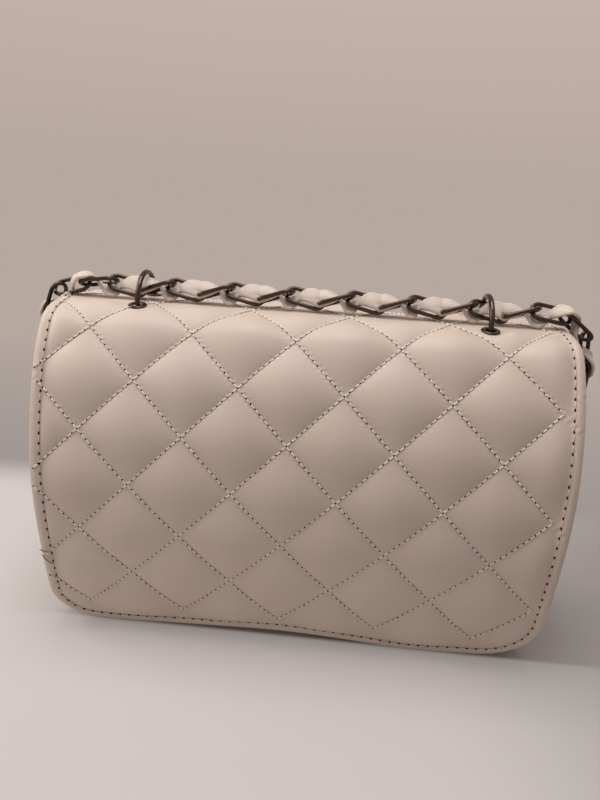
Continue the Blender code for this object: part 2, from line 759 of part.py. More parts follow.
def make_eyelets(back_panel, facing):
    grip = BACK_THICKNESS + SEAT_GAP + FACING_THICKNESS
    barrel = EYELET_BORE_RADIUS + EYELET_BARREL_WALL
    washer_top = -grip - SEAT_GAP
    washer_low = washer_top - WASHER_THICKNESS
    lip_top = washer_low - SEAT_GAP
    lip_low = lip_top - EYELET_LIP_HEIGHT
    flange_low = SEAT_GAP
    flange_top = flange_low + EYELET_FLANGE_HEIGHT
    eyelet_profile = (
        (EYELET_BORE_RADIUS, flange_top - EYELET_FLANGE_HEIGHT / 4),
        (EYELET_BORE_RADIUS + EYELET_BARREL_WALL / 2, flange_top),
        (EYELET_FLANGE_RADIUS - EYELET_FLANGE_HEIGHT / 2, flange_top - EYELET_FLANGE_HEIGHT / 8),
        (EYELET_FLANGE_RADIUS, flange_low),
        (barrel, flange_low),
        (barrel, lip_top),
        (EYELET_LIP_RADIUS, lip_top),
        (EYELET_LIP_RADIUS, lip_low),
        (EYELET_BORE_RADIUS, lip_low),
    )
    washer_profile = (
        (barrel + EYELET_PLAY, washer_top),
        (WASHER_RADIUS, washer_top),
        (WASHER_RADIUS, washer_low),
        (barrel + EYELET_PLAY, washer_low),
    )
    for place, matrix in eyelet_places():
        turned(f"eyelet_{place}", eyelet_profile, METAL, matrix)
        turned(f"washer_{place}", washer_profile, METAL, matrix)
        hole = cylinder_cutter(
            f"hole_{place}", barrel + EYELET_PLAY, -grip - CUT_OVERRUN, CUT_OVERRUN, matrix
        )
        cut(back_panel, hole)
        cut(facing, hole)


def ring_centre():
    y, z, _ = profile_point(EYELET_ALONG)
    return y + RING_RADIUS, z


def make_rings():
    y, z = ring_centre()
    for name, side in (("ring_left", -1), ("ring_right", 1)):
        bpy.ops.mesh.primitive_torus_add(
            major_segments=RING_STEPS,
            minor_segments=RING_SIDES,
            major_radius=RING_RADIUS,
            minor_radius=RING_WIRE / 2,
        )
        ring = bpy.context.object
        ring.name = name
        for collection in list(ring.users_collection):
            collection.objects.unlink(ring)
        PARTS.objects.link(ring)
        ring.data.materials.append(METAL)
        ring.data.shade_smooth()
        ring.location = (side * EYELET_SPACING / 2, y, z)
        ring.rotation_euler = (0, math.pi / 2, 0)


def make_snap(flap_panel, flap_lining, front_panel, front_stiffener):
    """A stud on the flap's lining and a socket on the front wall, each riveted to a plate behind."""
    inner_face = facing_out(SNAP_HEIGHT_UP_FLAP, FLAP_DEPTH, 0.0)
    post_hole = SNAP_POST_RADIUS + SNAP_CLEARANCE
    stud_top = -SEAT_GAP
    stud_low = stud_top - SNAP_STUD_THICKNESS
    boss_low = stud_low - SNAP_BOSS_HEIGHT
    plate_low = FLAP_LINING_THICKNESS + SEAT_GAP
    plate_top = plate_low + SNAP_PLATE_THICKNESS
    turned(
        "snap_stud",
        (
            (0, plate_top),
            (SNAP_POST_RADIUS, plate_top),
            (SNAP_POST_RADIUS, stud_top),
            (SNAP_STUD_RADIUS, stud_top),
            (SNAP_STUD_RADIUS, stud_low),
            (SNAP_BOSS_RADIUS, stud_low),
            (SNAP_BOSS_RADIUS, boss_low),
            (0, boss_low),
        ),
        METAL,
        inner_face,
        open_bore=False,
    )
    plate_profile = (
        (post_hole, plate_top),
        (SNAP_PLATE_RADIUS, plate_top),
        (SNAP_PLATE_RADIUS, plate_low),
        (post_hole, plate_low),
    )
    turned("snap_stud_plate", plate_profile, METAL, inner_face)
    pocket_depth = plate_top + SEAT_GAP
    pocket = cylinder_cutter(
        "pocket_flap", SNAP_PLATE_RADIUS + SNAP_CLEARANCE, -CUT_OVERRUN, pocket_depth, inner_face
    )
    cut(flap_panel, pocket)
    stud_hole = cylinder_cutter("hole_flap_lining", post_hole, -CUT_OVERRUN, CUT_OVERRUN, inner_face)
    cut(flap_lining, stud_hole)

    socket_face = stud_low - SNAP_CLEARANCE
    bore = SNAP_BOSS_RADIUS + SNAP_CLEARANCE
    bore_floor = boss_low - SNAP_CLEARANCE
    leather_front = -POUCH_FALL
    post_low = leather_front - FRONT_THICKNESS - SEAT_GAP - SNAP_PLATE_THICKNESS
    turned(
        "snap_socket",
        (
            (0, bore_floor),
            (bore, bore_floor),
            (bore, socket_face),
            (SNAP_SOCKET_RADIUS, socket_face),
            (SNAP_SOCKET_RADIUS, leather_front + SEAT_GAP),
            (SNAP_POST_RADIUS, leather_front + SEAT_GAP),
            (SNAP_POST_RADIUS, post_low),
            (0, post_low),
        ),
        METAL,
        inner_face,
        open_bore=False,
    )
    back_plate_top = leather_front - FRONT_THICKNESS - SEAT_GAP
    back_plate = (
        (post_hole, back_plate_top),
        (SNAP_PLATE_RADIUS, back_plate_top),
        (SNAP_PLATE_RADIUS, back_plate_top - SNAP_PLATE_THICKNESS),
        (post_hole, back_plate_top - SNAP_PLATE_THICKNESS),
    )
    turned("snap_socket_plate", back_plate, METAL, inner_face)
    front_hole = cylinder_cutter(
        "hole_front", post_hole, post_low - CUT_OVERRUN, leather_front + CUT_OVERRUN, inner_face
    )
    cut(front_panel, front_hole)
    board_hole = cylinder_cutter(
        "hole_board",
        SNAP_PLATE_RADIUS + SNAP_CLEARANCE,
        post_low - CUT_OVERRUN,
        back_plate_top + SEAT_GAP / 2,
        inner_face,
    )
    cut(front_stiffener, board_hole)


# Chain route


class Route:
    """A path walked in straight runs and turns, sampled at even steps with a side vector that never twists."""

    def __init__(self, start, heading, outward):
        self.place = Vector(start)
        self.heading = Vector(heading)
        self.outward = Vector(outward)
        self.samples = [(self.place.copy(), self.heading.copy(), self.outward.copy())]

    def add(self):
        self.samples.append((self.place.copy(), self.heading.copy(), self.outward.copy()))

    def straight(self, length):
        steps = max(1, round(length / CHAIN_STEP))
        for _ in range(steps):
            self.place += self.heading * (length / steps)
            self.add()

    def turn(self, radius, angle, axis):
        steps = max(1, round(radius * abs(angle) / CHAIN_STEP))
        rotation = Matrix.Rotation(angle / steps, 3, Vector(axis))
        chord = 2 * radius * math.sin(abs(angle) / steps / 2)
        half_rotation = Matrix.Rotation(angle / steps / 2, 3, Vector(axis))
        for _ in range(steps):
            self.place += (half_rotation @ self.heading) * chord
            self.heading = rotation @ self.heading
            self.outward = rotation @ self.outward
            self.add()

    def length(self):
        return sum((b[0] - a[0]).length for a, b in zip(self.samples, self.samples[1:]))

    def at(self, distance):
        """(place, outward) at this distance along the route."""
        left = distance
        for a, b in zip(self.samples, self.samples[1:]):
            step = (b[0] - a[0]).length
            if left <= step:
                share = left / step
                return a[0].lerp(b[0], share), a[2].lerp(b[2], share).normalized()
            left -= step
        return self.samples[-1][0], self.samples[-1][2]


def top_spacing():
    return math.sqrt(LINK_PITCH**2 - (2 * LINK_WAVE) ** 2)


def chain_height():
    """The chain's middle over the crest, its lowest link resting on the leather."""
    y, z = ring_centre()
    crest = z + TOP_ARC_RADIUS * (1 - math.sin(TOP_ANGLE))
    end_reach = LINK_LENGTH / 2 - LINK_WIRE / 2 - LINK_BEND_RADIUS
    slope = 2 * LINK_WAVE / LINK_PITCH
    half_envelope = LINK_BEND_RADIUS * math.cos(UPRIGHT_ROLL) + end_reach * slope + LINK_WIRE / 2
    return crest + SEAT_GAP + half_envelope


def hidden_route():
    """Down the right side, across the floor behind the bag in gentle bends, and up the left side."""
    y, _ = ring_centre()
    height = chain_height()
    floor = LINK_BEND_RADIUS * math.cos(HANGING_ROLL) + LINK_WIRE / 2
    start_x = CHAIN_SHIFT + top_spacing() * TOP_LINKS / 2
    end_x = CHAIN_SHIFT - top_spacing() * TOP_LINKS / 2
    route = Route((start_x, y, height), (1, 0, 0), (0, 0, 1))
    fall = height - floor - CHAIN_TURN_RADIUS - CHAIN_FOOT_RADIUS
    back_run = CHAIN_ROW - y - CHAIN_FOOT_RADIUS - CHAIN_CORNER_RADIUS
    row = CHAIN_RIGHT + CHAIN_LEFT - 2 * CHAIN_CORNER_RADIUS
    bends = 4
    bend_reach = 4 * CHAIN_BEND_RADIUS * math.sin(CHAIN_BEND_ANGLE)
    straight_share = (row - bends / 2 * bend_reach) / 2
    route.straight(CHAIN_RIGHT - CHAIN_TURN_RADIUS - start_x)
    route.turn(CHAIN_TURN_RADIUS, math.pi / 2, (0, 1, 0))
    route.straight(fall)
    route.turn(CHAIN_FOOT_RADIUS, math.pi / 2, (1, 0, 0))
    route.straight(back_run)
    route.turn(CHAIN_CORNER_RADIUS, math.pi / 2, (0, 0, 1))
    route.straight(straight_share)
    for _ in range(bends // 2):
        route.turn(CHAIN_BEND_RADIUS, -CHAIN_BEND_ANGLE, (0, 0, 1))
        route.turn(CHAIN_BEND_RADIUS, 2 * CHAIN_BEND_ANGLE, (0, 0, 1))
        route.turn(CHAIN_BEND_RADIUS, -CHAIN_BEND_ANGLE, (0, 0, 1))
    route.straight(straight_share)
    route.turn(CHAIN_CORNER_RADIUS, math.pi / 2, (0, 0, 1))
    route.straight(back_run)
    route.turn(CHAIN_FOOT_RADIUS, math.pi / 2, (-1, 0, 0))
    route.straight(fall)
    route.turn(CHAIN_TURN_RADIUS, math.pi / 2, (0, 1, 0))
    route.straight(end_x + CHAIN_LEFT - CHAIN_TURN_RADIUS)
    return route


def chain_joints():
    """Where the links meet, all round the loop: (place, outward), starting at the left end of the top run."""
    y, _ = ring_centre()
    height = chain_height()
    joints = []
    for index in range(TOP_LINKS + 1):
        number = index - TOP_LINKS // 2
        wave = -LINK_WAVE if number % 2 == 0 else LINK_WAVE
        joints.append((Vector((CHAIN_SHIFT + number * top_spacing(), y, height + wave)), Vector((0, 0, 1))))
    route = hidden_route()
    total = route.length()
    count = 2 * math.ceil(total / LINK_PITCH / 2)
    spacing = total / count
    joints += [route.at(spacing * index) for index in range(1, count)]
    return joints


def link_roll(index, count):
    """The turn of a link's plane about the chain: upright and flat on top, 45 degrees either way elsewhere."""
    upright = index % 2 == 0
    from_top = min(max(index - TOP_LINKS + 1, 0), count - index)
    base = max(UPRIGHT_ROLL - from_top * ROLL_STEP, HANGING_ROLL)
    return base if upright else base + math.pi / 2


def link_frames(joints):
    """Each link's matrix: local X along the chain, local Y across its plane."""
    frames = []
    count = len(joints)
    for index in range(count):
        a, out_a = joints[index]
        b, out_b = joints[(index + 1) % count]
        along = (b - a).normalized()
        outward = out_a + out_b
        outward = (outward - along * outward.dot(along)).normalized()
        width = Matrix.Rotation(link_roll(index, count), 3, along) @ outward
        normal = along.cross(width)
        turn = Matrix((along, width, normal)).transposed().to_4x4()
        frames.append(Matrix.Translation((a + b) / 2) @ turn)
    return frames


def link_mesh(name, length, end_points, resolution):
    """One oval link, as a closed curve with a round bevel."""
    curve = bpy.data.curves.new(name, "CURVE")
    curve.dimensions = "3D"
    curve.bevel_depth = LINK_WIRE / 2
    curve.bevel_resolution = resolution
    spline = curve.splines.new("POLY")
    reach = (length - LINK_WIRE) / 2 - LINK_BEND_RADIUS
    points = []
    for end in (1, -1):
        for step in range(end_points):
            angle = -math.pi / 2 + math.pi * step / (end_points - 1)
            x = end * (reach + LINK_BEND_RADIUS * math.cos(angle))
            points.append((x, end * LINK_BEND_RADIUS * math.sin(angle)))
    spline.points.add(len(points) - 1)
    for point, (x, y) in zip(spline.points, points):
        point.co = (x, y, 0, 1)
    spline.use_cyclic_u = True
    guide = bpy.data.objects.new(name, curve)
    bpy.context.scene.collection.objects.link(guide)
    bpy.context.view_layer.update()
    graph = bpy.context.evaluated_depsgraph_get()
    mesh = bpy.data.meshes.new_from_object(guide.evaluated_get(graph))
    bpy.data.objects.remove(guide)
    mesh.name = name
    mesh.materials.clear()
    mesh.materials.append(METAL)
    return mesh


def stretched(mesh, start_extra, end_extra):
    """The points of a link whose two round ends stand further out by these lengths."""
    moved = []
    for vertex in mesh.vertices:
        shift = end_extra if vertex.co.x > 0 else -start_extra
        moved.append(vertex.co + Vector((shift, 0, 0)))
    return moved


def joined_links(name, links, mesh):
    """Separate links in one mesh. Each is (frame, extra at its start, extra at its end)."""
    points = []
    faces = []
    for frame, start_extra, end_extra in links:
        first = len(points)
        points += [frame @ point for point in stretched(mesh, start_extra, end_extra)]
        faces += [[first + index for index in face.vertices] for face in mesh.polygons]
    out = mesh_of(name, points, faces)
    out.materials.append(METAL)
    return out


def make_strand(name, frames, chords, mesh):
    """Links of a hidden stretch, every other one joined to those between by one union."""
    outer_extra = (LINK_LENGTH - FUSED_LENGTH) / 2
    links = []
    for index, (frame, chord) in enumerate(zip(frames, chords)):
        extra = (chord - LINK_PITCH) / 2
        start_extra = outer_extra if index == 0 else extra
        end_extra = outer_extra if index == len(frames) - 1 else extra
        links.append((frame, start_extra, end_extra))
    node = add_object(name, joined_links(name, links[0::2], mesh), METAL, smooth=False)
    between = bpy.data.objects.new(f"{name}_between", joined_links(f"{name}_between", links[1::2], mesh))
    CUTTERS.objects.link(between)
    between.hide_render = True
    between.display_type = "WIRE"
    union = node.modifiers.new("joined", "BOOLEAN")
    union.operation = "UNION"
    union.solver = "EXACT"
    union.object = between
    return node


def make_chain(joints):
    frames = link_frames(joints)
    count = len(frames)
    chords = [(joints[(index + 1) % count][0] - joints[index][0]).length for index in range(count)]
    shown = link_mesh("link", LINK_LENGTH, LINK_END_POINTS, 1)
    first = count - SHOWN_DROP_LINKS
    shown_indices = [index % count for index in range(first, count + TOP_LINKS + SHOWN_DROP_LINKS)]
    for number, index in enumerate(shown_indices, 1):
        link = add_object(f"link_{number:02d}", shown, METAL, smooth=False)
        link.matrix_world = frames[index]
    fused = link_mesh("fused_link", FUSED_LENGTH, FUSED_END_POINTS, 0)
    hidden = range(TOP_LINKS + SHOWN_DROP_LINKS, first)
    names = ("chain_fall_right", "chain_floor_right", "chain_floor_left", "chain_fall_left")
    drop = round(FALL_LINK_SHARE * len(hidden))
    middle = len(hidden) // 2
    cuts = (0, drop, middle, len(hidden) - drop, len(hidden))
    for name, begin, end in zip(names, cuts, cuts[1:]):
        stretch = hidden[begin:end]
        make_strand(name, [frames[i] for i in stretch], [chords[i] for i in stretch], fused)
    return frames


def make_lace(joints, frames):
    """A flat lace that swings from one side of the links to the other, past every joint."""
    count = len(joints)
    loop = bmesh.new()
    rings = []
    for index in range(count):
        before = frames[index - 1]
        after = frames[index]
        swing = (before.col[1].xyz + after.col[1].xyz).normalized()
        sign = lace_side(index)
        along = (before.col[0].xyz + after.col[0].xyz).normalized()
        centre = joints[index][0] + swing * (sign * LACE_SWING)
        for step in (-1, 1):
            rings.append((centre + along * (step * LACE_CROSSING), along, swing))
        ahead = frames[(index + 1) % count]
        next_swing = (after.col[1].xyz + ahead.col[1].xyz).normalized()
        rings.append((after.translation, after.col[0].xyz, (swing + next_swing).normalized()))
    made = []
    for place, along, swing in rings:
        flat = along.cross(swing).normalized()
        corners = []
        for side in range(LACE_SIDES):
            angle = 2 * math.pi * side / LACE_SIDES
            offset = swing * (LACE_WIDTH / 2 * math.cos(angle)) + flat * (LACE_THICKNESS / 2 * math.sin(angle))
            corners.append(loop.verts.new(place + offset))
        made.append(corners)
    for index, ring in enumerate(made):
        following = made[(index + 1) % len(made)]
        for side in range(LACE_SIDES):
            other = (side + 1) % LACE_SIDES
            loop.faces.new((ring[side], ring[other], following[other], following[side]))
    bmesh.ops.recalc_face_normals(loop, faces=loop.faces)
    mesh = bpy.data.meshes.new("strap_lace")
    loop.to_mesh(mesh)
    loop.free()
    return add_object("strap_lace", mesh, SMOOTH_LEATHER)


def lace_side(index):
    """The lace passes over every other joint, and under those between."""
    return 1 if (index - TOP_LINKS // 2) % 2 == 0 else -1


WALL_SAMPLES = 120
SEAM_SHARE = 0.06
FALL_LINK_SHARE = 0.23

clear_scene()
PARTS = new_collection("quilted_shoulder_bag", True)
CUTTERS = new_collection("cutters", False)
LEATHER = material("quilted leather", (0.78, 0.71, 0.60), 0.45, 0.0)
SMOOTH_LEATHER = material("smooth leather", (0.80, 0.74, 0.64), 0.5, 0.0)
CLOTH = material("lining cloth", (0.62, 0.56, 0.47), 0.8, 0.0)
BOARD = material("stiffener board", (0.45, 0.40, 0.33), 0.9, 0.0)
METAL = material("dark nickel", (0.16, 0.15, 0.15), 0.3, 1.0)

ARCS = profile_arcs()
FULL_LENGTH = sum(arc_length(arc) for arc in ARCS)
TOP_START = sum(arc_length(arc) for arc in ARCS[:4])
BACK_START = sum(arc_length(arc) for arc in ARCS[:6])
EYELET_ALONG = TOP_START + FLAT_AHEAD_OF_EYELET
REAR_EYELET_ALONG = EYELET_ALONG + TOP_ARC_RADIUS * (math.pi - 2 * TOP_ANGLE)
FOLD_ALONG = EYELET_ALONG - FOLD_AHEAD_OF_EYELET

FLAP_PANEL, FLAP_LINING = make_flap()
BACK_PANEL, TOP_FACING = make_back()
FRONT_PANEL = make_front()
FRONT_STIFFENER, BACK_STIFFENER = make_stiffeners()
make_gusset()
make_lining()
make_base_board()
make_eyelets(BACK_PANEL, TOP_FACING)
make_rings()
make_snap(FLAP_PANEL, FLAP_LINING, FRONT_PANEL, FRONT_STIFFENER)
JOINTS = chain_joints()
FRAMES = make_chain(JOINTS)
make_lace(JOINTS, FRAMES)
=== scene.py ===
"""Quilted shoulder bag: the looks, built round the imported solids.

Metres, +Z up, the front faces -Y. A place on the outer leather is given by x, across the bag, and by
its length along the side view from the flap's lower edge, up over the crest and down the back.
"""

import math

import bmesh
import bpy
import numpy as np
from mathutils import Matrix, Vector, kdtree
from mathutils.bvhtree import BVHTree


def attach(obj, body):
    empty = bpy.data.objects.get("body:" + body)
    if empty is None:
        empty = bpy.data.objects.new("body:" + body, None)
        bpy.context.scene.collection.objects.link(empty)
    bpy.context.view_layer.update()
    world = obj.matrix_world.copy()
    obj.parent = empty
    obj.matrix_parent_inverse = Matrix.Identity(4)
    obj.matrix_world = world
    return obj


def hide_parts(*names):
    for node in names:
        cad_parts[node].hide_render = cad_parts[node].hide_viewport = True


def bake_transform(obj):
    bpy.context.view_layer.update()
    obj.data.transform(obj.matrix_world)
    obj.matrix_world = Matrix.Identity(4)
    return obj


MM = 0.001

# Side view of the outer leather
MOUTH_HEIGHT = 126.0 * MM
CREST_RISE = 19.7 * MM
HEM_FRONT = 24.1 * MM
HEM_HEIGHT = 3.0 * MM
HEM_RADIUS = 170.0 * MM
BELLY_RADIUS = 132.0 * MM
SHOULDER_RADIUS = 84.0 * MM
CREST_RADIUS = 17.9 * MM
REAR_RADIUS = 12.5 * MM
BACK_RADIUS = 420.0 * MM
BACK_RISE = 0.8 * MM
SHOULDER_ANGLE = math.radians(26.0)
CREST_ANGLE = math.radians(40.5)
TOP_ANGLE = math.radians(83.0)
RING_RADIUS = 12.5 * MM
RING_WIRE = 2.3 * MM
FLAT_AHEAD = 3.5 * MM
FLAT_BEHIND = 4.5 * MM

# Outer leather
HALF_WIDTH = 110.5 * MM
RIM_RADIUS = 1.1 * MM
FACE_HALF_WIDTH = HALF_WIDTH - RIM_RADIUS
FLAP_WALL = 2.2 * MM
BACK_WALL = 1.45 * MM
FOLD_AHEAD = 9.0 * MM
FOLD_SPREAD = 4.0 * MM
CORNER_LEFT = 18.0 * MM
CORNER_RIGHT = 25.0 * MM
CORNER_BACK = 20.0 * MM
COVER_DRAW_MARGIN = 3.0 * MM
EYELET_X = 75.0 * MM
EYELET_HOLE = 2.75 * MM
PUNCH_DEPTH = 6.0 * MM

# How its edges leave the straight, each change between two lengths along the side view
LEFT_FLARE = 2.0 * MM
LEFT_FLARE_REACH = 85.0 * MM, 150.0 * MM
FLARE_ON_BACK = 20.0 * MM
LEFT_NARROW = 2.0 * MM
LEFT_NARROW_REACH = 35.0 * MM, 95.0 * MM
RIGHT_NARROW = 1.3 * MM
RIGHT_NARROW_REACH = 40.0 * MM, 100.0 * MM
# Waves of the lower edge, as (rise, place across, half length)
HEM_WAVES = (
    (2.6 * MM, -5.0 * MM, 34.0 * MM),
    (-2.0 * MM, 54.0 * MM, 22.0 * MM),
    (-1.5 * MM, -84.0 * MM, 22.0 * MM),
)
HEM_WAVE_REACH = 30.0 * MM
OUTLINE_STEP = 0.4 * MM

# Quilting: diamonds on their points, named from one crossing
QUILT_X = -5.0 * MM
QUILT_ALONG = 142.3 * MM
QUILT_ACROSS = 21.4 * MM
QUILT_DOWN = 21.75 * MM
QUILT_LAST_ACROSS = 5
QUILT_LAST_DOWN = 6
QUILT_FIRST_ACROSS = -6
CELLS_PER_STEP = 20
STITCHES_PER_CELL = 11
EDGE_STITCH_INSET = 4.5 * MM
SEAM_INSET = EDGE_STITCH_INSET - RIM_RADIUS
EDGE_PITCH = 4.3 * MM

# Padding
PUFF = 3.0 * MM
PUFF_POWER = 0.72
SEAM_DEPTH = 1.0 * MM
BACK_FLATTER_SHARE = 0.25
BACK_SHALLOWER_SHARE = 0.45
FLATTER_ON_BACK = 10.0 * MM
BORDER_REACH = 10.0 * MM
BORDER_POWER = 0.6
ROLL_HEIGHT = 0.75 * MM
ROLL_POWER = 0.7
ROLL_SINK = 0.55 * MM
RIM_LIFT = 0.15 * MM
CREST_SINK = 0.35 * MM
CREST_SINK_SHIFT = 1.0 * MM
CREST_SINK_REACH = 7.0 * MM, 17.0 * MM
EYELET_SINK = 0.1 * MM
EYELET_SINK_REACH = 4.4 * MM, 10.0 * MM

# Layers under the flap
FLAP_DEPTH = 3.7 * MM
POUCH_FALL = 3.6 * MM
POUCH_DEPTH = FLAP_DEPTH + POUCH_FALL
SNAP_ALONG = 38.0 * MM
SEAT_GAP = 0.3 * MM
POUCH_CORNER = 18.0 * MM
DRAW_MARGIN = 4.0 * MM
UNDERSIDE_WALL = 1.0 * MM
UNDERSIDE_INSET = 2.0 * MM
UNDERSIDE_SHORT = 2.2 * MM
FACING_WALL = 0.8 * MM
FACING_DEPTH = 2.7 * MM
FACING_INSET = 3.0 * MM
FACING_START = 3.2 * MM
FACING_OVER_LINING = 1.1 * MM
FRONT_WALL = 1.6 * MM
FRONT_INSET = 2.0 * MM
FRONT_FLOOR = 1.2 * MM
GUSSET_WALL = 1.4 * MM
GUSSET_HALF_WIDTH = 107.3 * MM
GUSSET_FRONT_DEPTH = 9.2 * MM
GUSSET_BACK_DEPTH = 1.9 * MM
GUSSET_BELOW_MOUTH = 4.0 * MM
GUSSET_FOLD = 9.0 * MM
GUSSET_FOLD_START = 20.0 * MM
GUSSET_SEAM_SHARE = 0.06
LINING_WALL = 0.8 * MM
LINING_HALF_WIDTH = 105.0 * MM
LINING_FLOOR = 3.2 * MM
LINING_CORNER = 16.6 * MM
LINING_TOP = MOUTH_HEIGHT - 3.0 * MM
LINING_FRONT_DEPTH = 10.5 * MM
LINING_BACK_DEPTH = 3.2 * MM

# Chain: the links that fall to the right lie flatter than their joints do, the others steeper
LINK_LENGTH = 18.8 * MM
LINK_WIDTH = 9.0 * MM
LINK_WIRE = 1.8 * MM
LINK_PLAY = 1.4 * MM
LINK_WAVE = 1.9 * MM
LINK_TILTS = 0.8, 1.2
TOP_LINKS = 14
ALL_LINKS = 64
CHAIN_SHIFT = 2.8 * MM
CHAIN_RIGHT = 119.5 * MM
CHAIN_LEFT = 119.5 * MM
TURN_RADIUS = 13.0 * MM
FOOT_RADIUS = 24.0 * MM
CORNER_RADIUS = 22.0 * MM
CHAIN_ROW = 64.0 * MM
BEND_RADIUS = 26.0 * MM
BEND_ANGLE = math.radians(42)
ROUTE_STEP = 1.0 * MM
TOP_ROLLS = math.radians(-43), math.radians(68)
HANGING_ROLLS = math.radians(-45), math.radians(45)
LINKS_TO_TURN = 6

# Woven lace
LACE_SWING = 4.2 * MM
LACE_OVER = 3.2 * MM
LACE_UNDER = 4.5 * MM
LACE_OVER_LEAN = math.radians(10)
LACE_UNDER_LEAN = math.radians(-12)
LACE_FACE = math.radians(46)
LACE_HALF_OVER = 3.8 * MM
LACE_HALF_UNDER = 3.3 * MM
LACE_HALF_WIDTH = 4.1 * MM
LACE_HALF_GATHERED = 2.3 * MM
LACE_HALF_THICK = 0.75 * MM
LACE_HUMP_SHARE = 0.68
LACE_HUMP_POWER = 0.8
LACE_CUP = 0.9 * MM
LACE_THIN_SHARE = 0.9
LACE_OFF_WIRE = 0.08 * MM
LACE_OFF_FLOOR = 0.05 * MM
LACE_ROWS = 16
LACE_COLUMNS = 11
LACE_FOLD = 2.1 * MM
CREST_LOWEST = 130.0 * MM
CREST_ON_BACK = 8.0 * MM

# Stitches
QUILT_STITCH = {"Length": 1.95 * MM, "Thread": 0.30 * MM, "Rise": 0.36 * MM}
QUILT_NEEDLE = {"Radius": 0.42 * MM}
EDGE_STITCH = {"Length": 2.6 * MM, "Thread": 0.26 * MM, "Rise": 0.26 * MM}
EDGE_NEEDLE = {"Radius": 0.50 * MM}
THREAD_LIFT = 0.10 * MM
HOLE_LIFT = 0.02 * MM
PROBE_HEIGHT = 6.0 * MM
SEAM_MARGIN = 3.0 * MM
SEAM_CLEARANCE = 0.8 * MM
LEFT_SEAM_X = -90.0 * MM
LEFT_SEAM_CLEARANCE = 1.5 * MM
MOUTH_SEAM_DROP = 4.0 * MM
MOUTH_SEAM_INSET = 7.0 * MM
LOOSE_THREAD_RADIUS = 0.22 * MM

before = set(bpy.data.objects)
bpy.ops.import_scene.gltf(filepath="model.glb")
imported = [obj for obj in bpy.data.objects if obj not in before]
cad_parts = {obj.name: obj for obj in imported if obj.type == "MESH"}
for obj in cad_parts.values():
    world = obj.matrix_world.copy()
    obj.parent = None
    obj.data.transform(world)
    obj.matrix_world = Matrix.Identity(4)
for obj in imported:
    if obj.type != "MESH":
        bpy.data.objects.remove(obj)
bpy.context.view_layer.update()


# Small helpers


def linear(hex_colour):
    """A colour written as sRGB hex, turned to linear."""
    channels = [int(hex_colour[i : i + 2], 16) / 255 for i in (0, 2, 4)]
    return tuple(c / 12.92 if c <= 0.04045 else ((c + 0.055) / 1.055) ** 2.4 for c in channels) + (1.0,)


def in_scene(name, data):
    """A new object in the scene."""
    made = bpy.data.objects.new(name, data)
    bpy.context.scene.collection.objects.link(made)
    return made


def mesh_object(name, points, faces, finish, smooth=True):
    mesh = bpy.data.meshes.new(name)
    mesh.from_pydata([tuple(p) for p in points], [], faces)
    mesh.update()
    mesh.materials.append(finish)
    if smooth:
        mesh.shade_smooth()
    return in_scene(name, mesh)


def outwards(piece):
    """Turns a closed piece's faces to the outside."""
    shell = bmesh.new()
    shell.from_mesh(piece.data)
    bmesh.ops.recalc_face_normals(shell, faces=shell.faces)
    shell.to_mesh(piece.data)
    shell.free()


def band(lower, upper):
    """The faces between two closed loops of point numbers."""
    return list(zip(lower, np.roll(lower, -1), np.roll(upper, -1), upper))


def border_of(grid):
    """The border of a grid as one loop, anticlockwise seen from outside."""
    return np.concatenate([grid[0, :-1], grid[:-1, -1], grid[-1, :0:-1], grid[:0:-1, 0]])


def unit(vectors):
    return vectors / np.linalg.norm(vectors, axis=-1, keepdims=True)


def finished(piece, body, slot_name, *nodes):
    """Puts a piece on its body, and lets it stand for its solids. The slot name is not used."""
    if nodes:
        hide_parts(*nodes)
    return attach(piece, body)


def fill_inputs(tree, made, values):
    """Sets a node's inputs to values, or links them to other nodes' sockets."""
    for key, value in dict(values).items():
        socket = made.inputs[key]
        if isinstance(value, bpy.types.NodeSocket):
            tree.links.new(value, socket)
        else:
            socket.default_value = value


def node(tree, kind, values=(), **settings):
    """A node with its settings and its inputs."""
    made = tree.nodes.new(kind)
    for key, value in settings.items():
        setattr(made, key, value)
    fill_inputs(tree, made, values)
    return made


# Side view


def side_arcs():
    """Rows of (first angle, radius, start y, start z, start length), the angle being the normal's."""
    top_radius = RING_RADIUS / math.cos(TOP_ANGLE)
    top_first = TOP_ANGLE - FLAT_AHEAD / top_radius
    top_last = math.pi - TOP_ANGLE + FLAT_BEHIND / top_radius
    upper_rise = (
        BELLY_RADIUS * math.sin(SHOULDER_ANGLE)
        + SHOULDER_RADIUS * (math.sin(CREST_ANGLE) - math.sin(SHOULDER_ANGLE))
        + CREST_RADIUS * (math.sin(top_first) - math.sin(CREST_ANGLE))
        + top_radius * (1 - math.sin(top_first))
    )
    hem_angle = -math.asin((MOUTH_HEIGHT + CREST_RISE - HEM_HEIGHT - upper_rise) / HEM_RADIUS)
    spans = [
        (hem_angle, 0.0, HEM_RADIUS),
        (0.0, SHOULDER_ANGLE, BELLY_RADIUS),
        (SHOULDER_ANGLE, CREST_ANGLE, SHOULDER_RADIUS),
        (CREST_ANGLE, top_first, CREST_RADIUS),
        (top_first, top_last, top_radius),
        (top_last, math.pi, REAR_RADIUS),
    ]
    rows = []
    y, z, begin = -HEM_FRONT, HEM_HEIGHT, 0.0
    for first, last, radius in spans:
        rows.append((first, radius, y, z, begin))
        y += radius * (math.cos(first) - math.cos(last))
        z += radius * (math.sin(last) - math.sin(first))
        begin += radius * (last - first)
    rows.append((math.pi, BACK_RADIUS, y, z, begin))
    full = begin + BACK_RADIUS * math.asin((z - BACK_RISE) / BACK_RADIUS)
    return np.array(rows), full


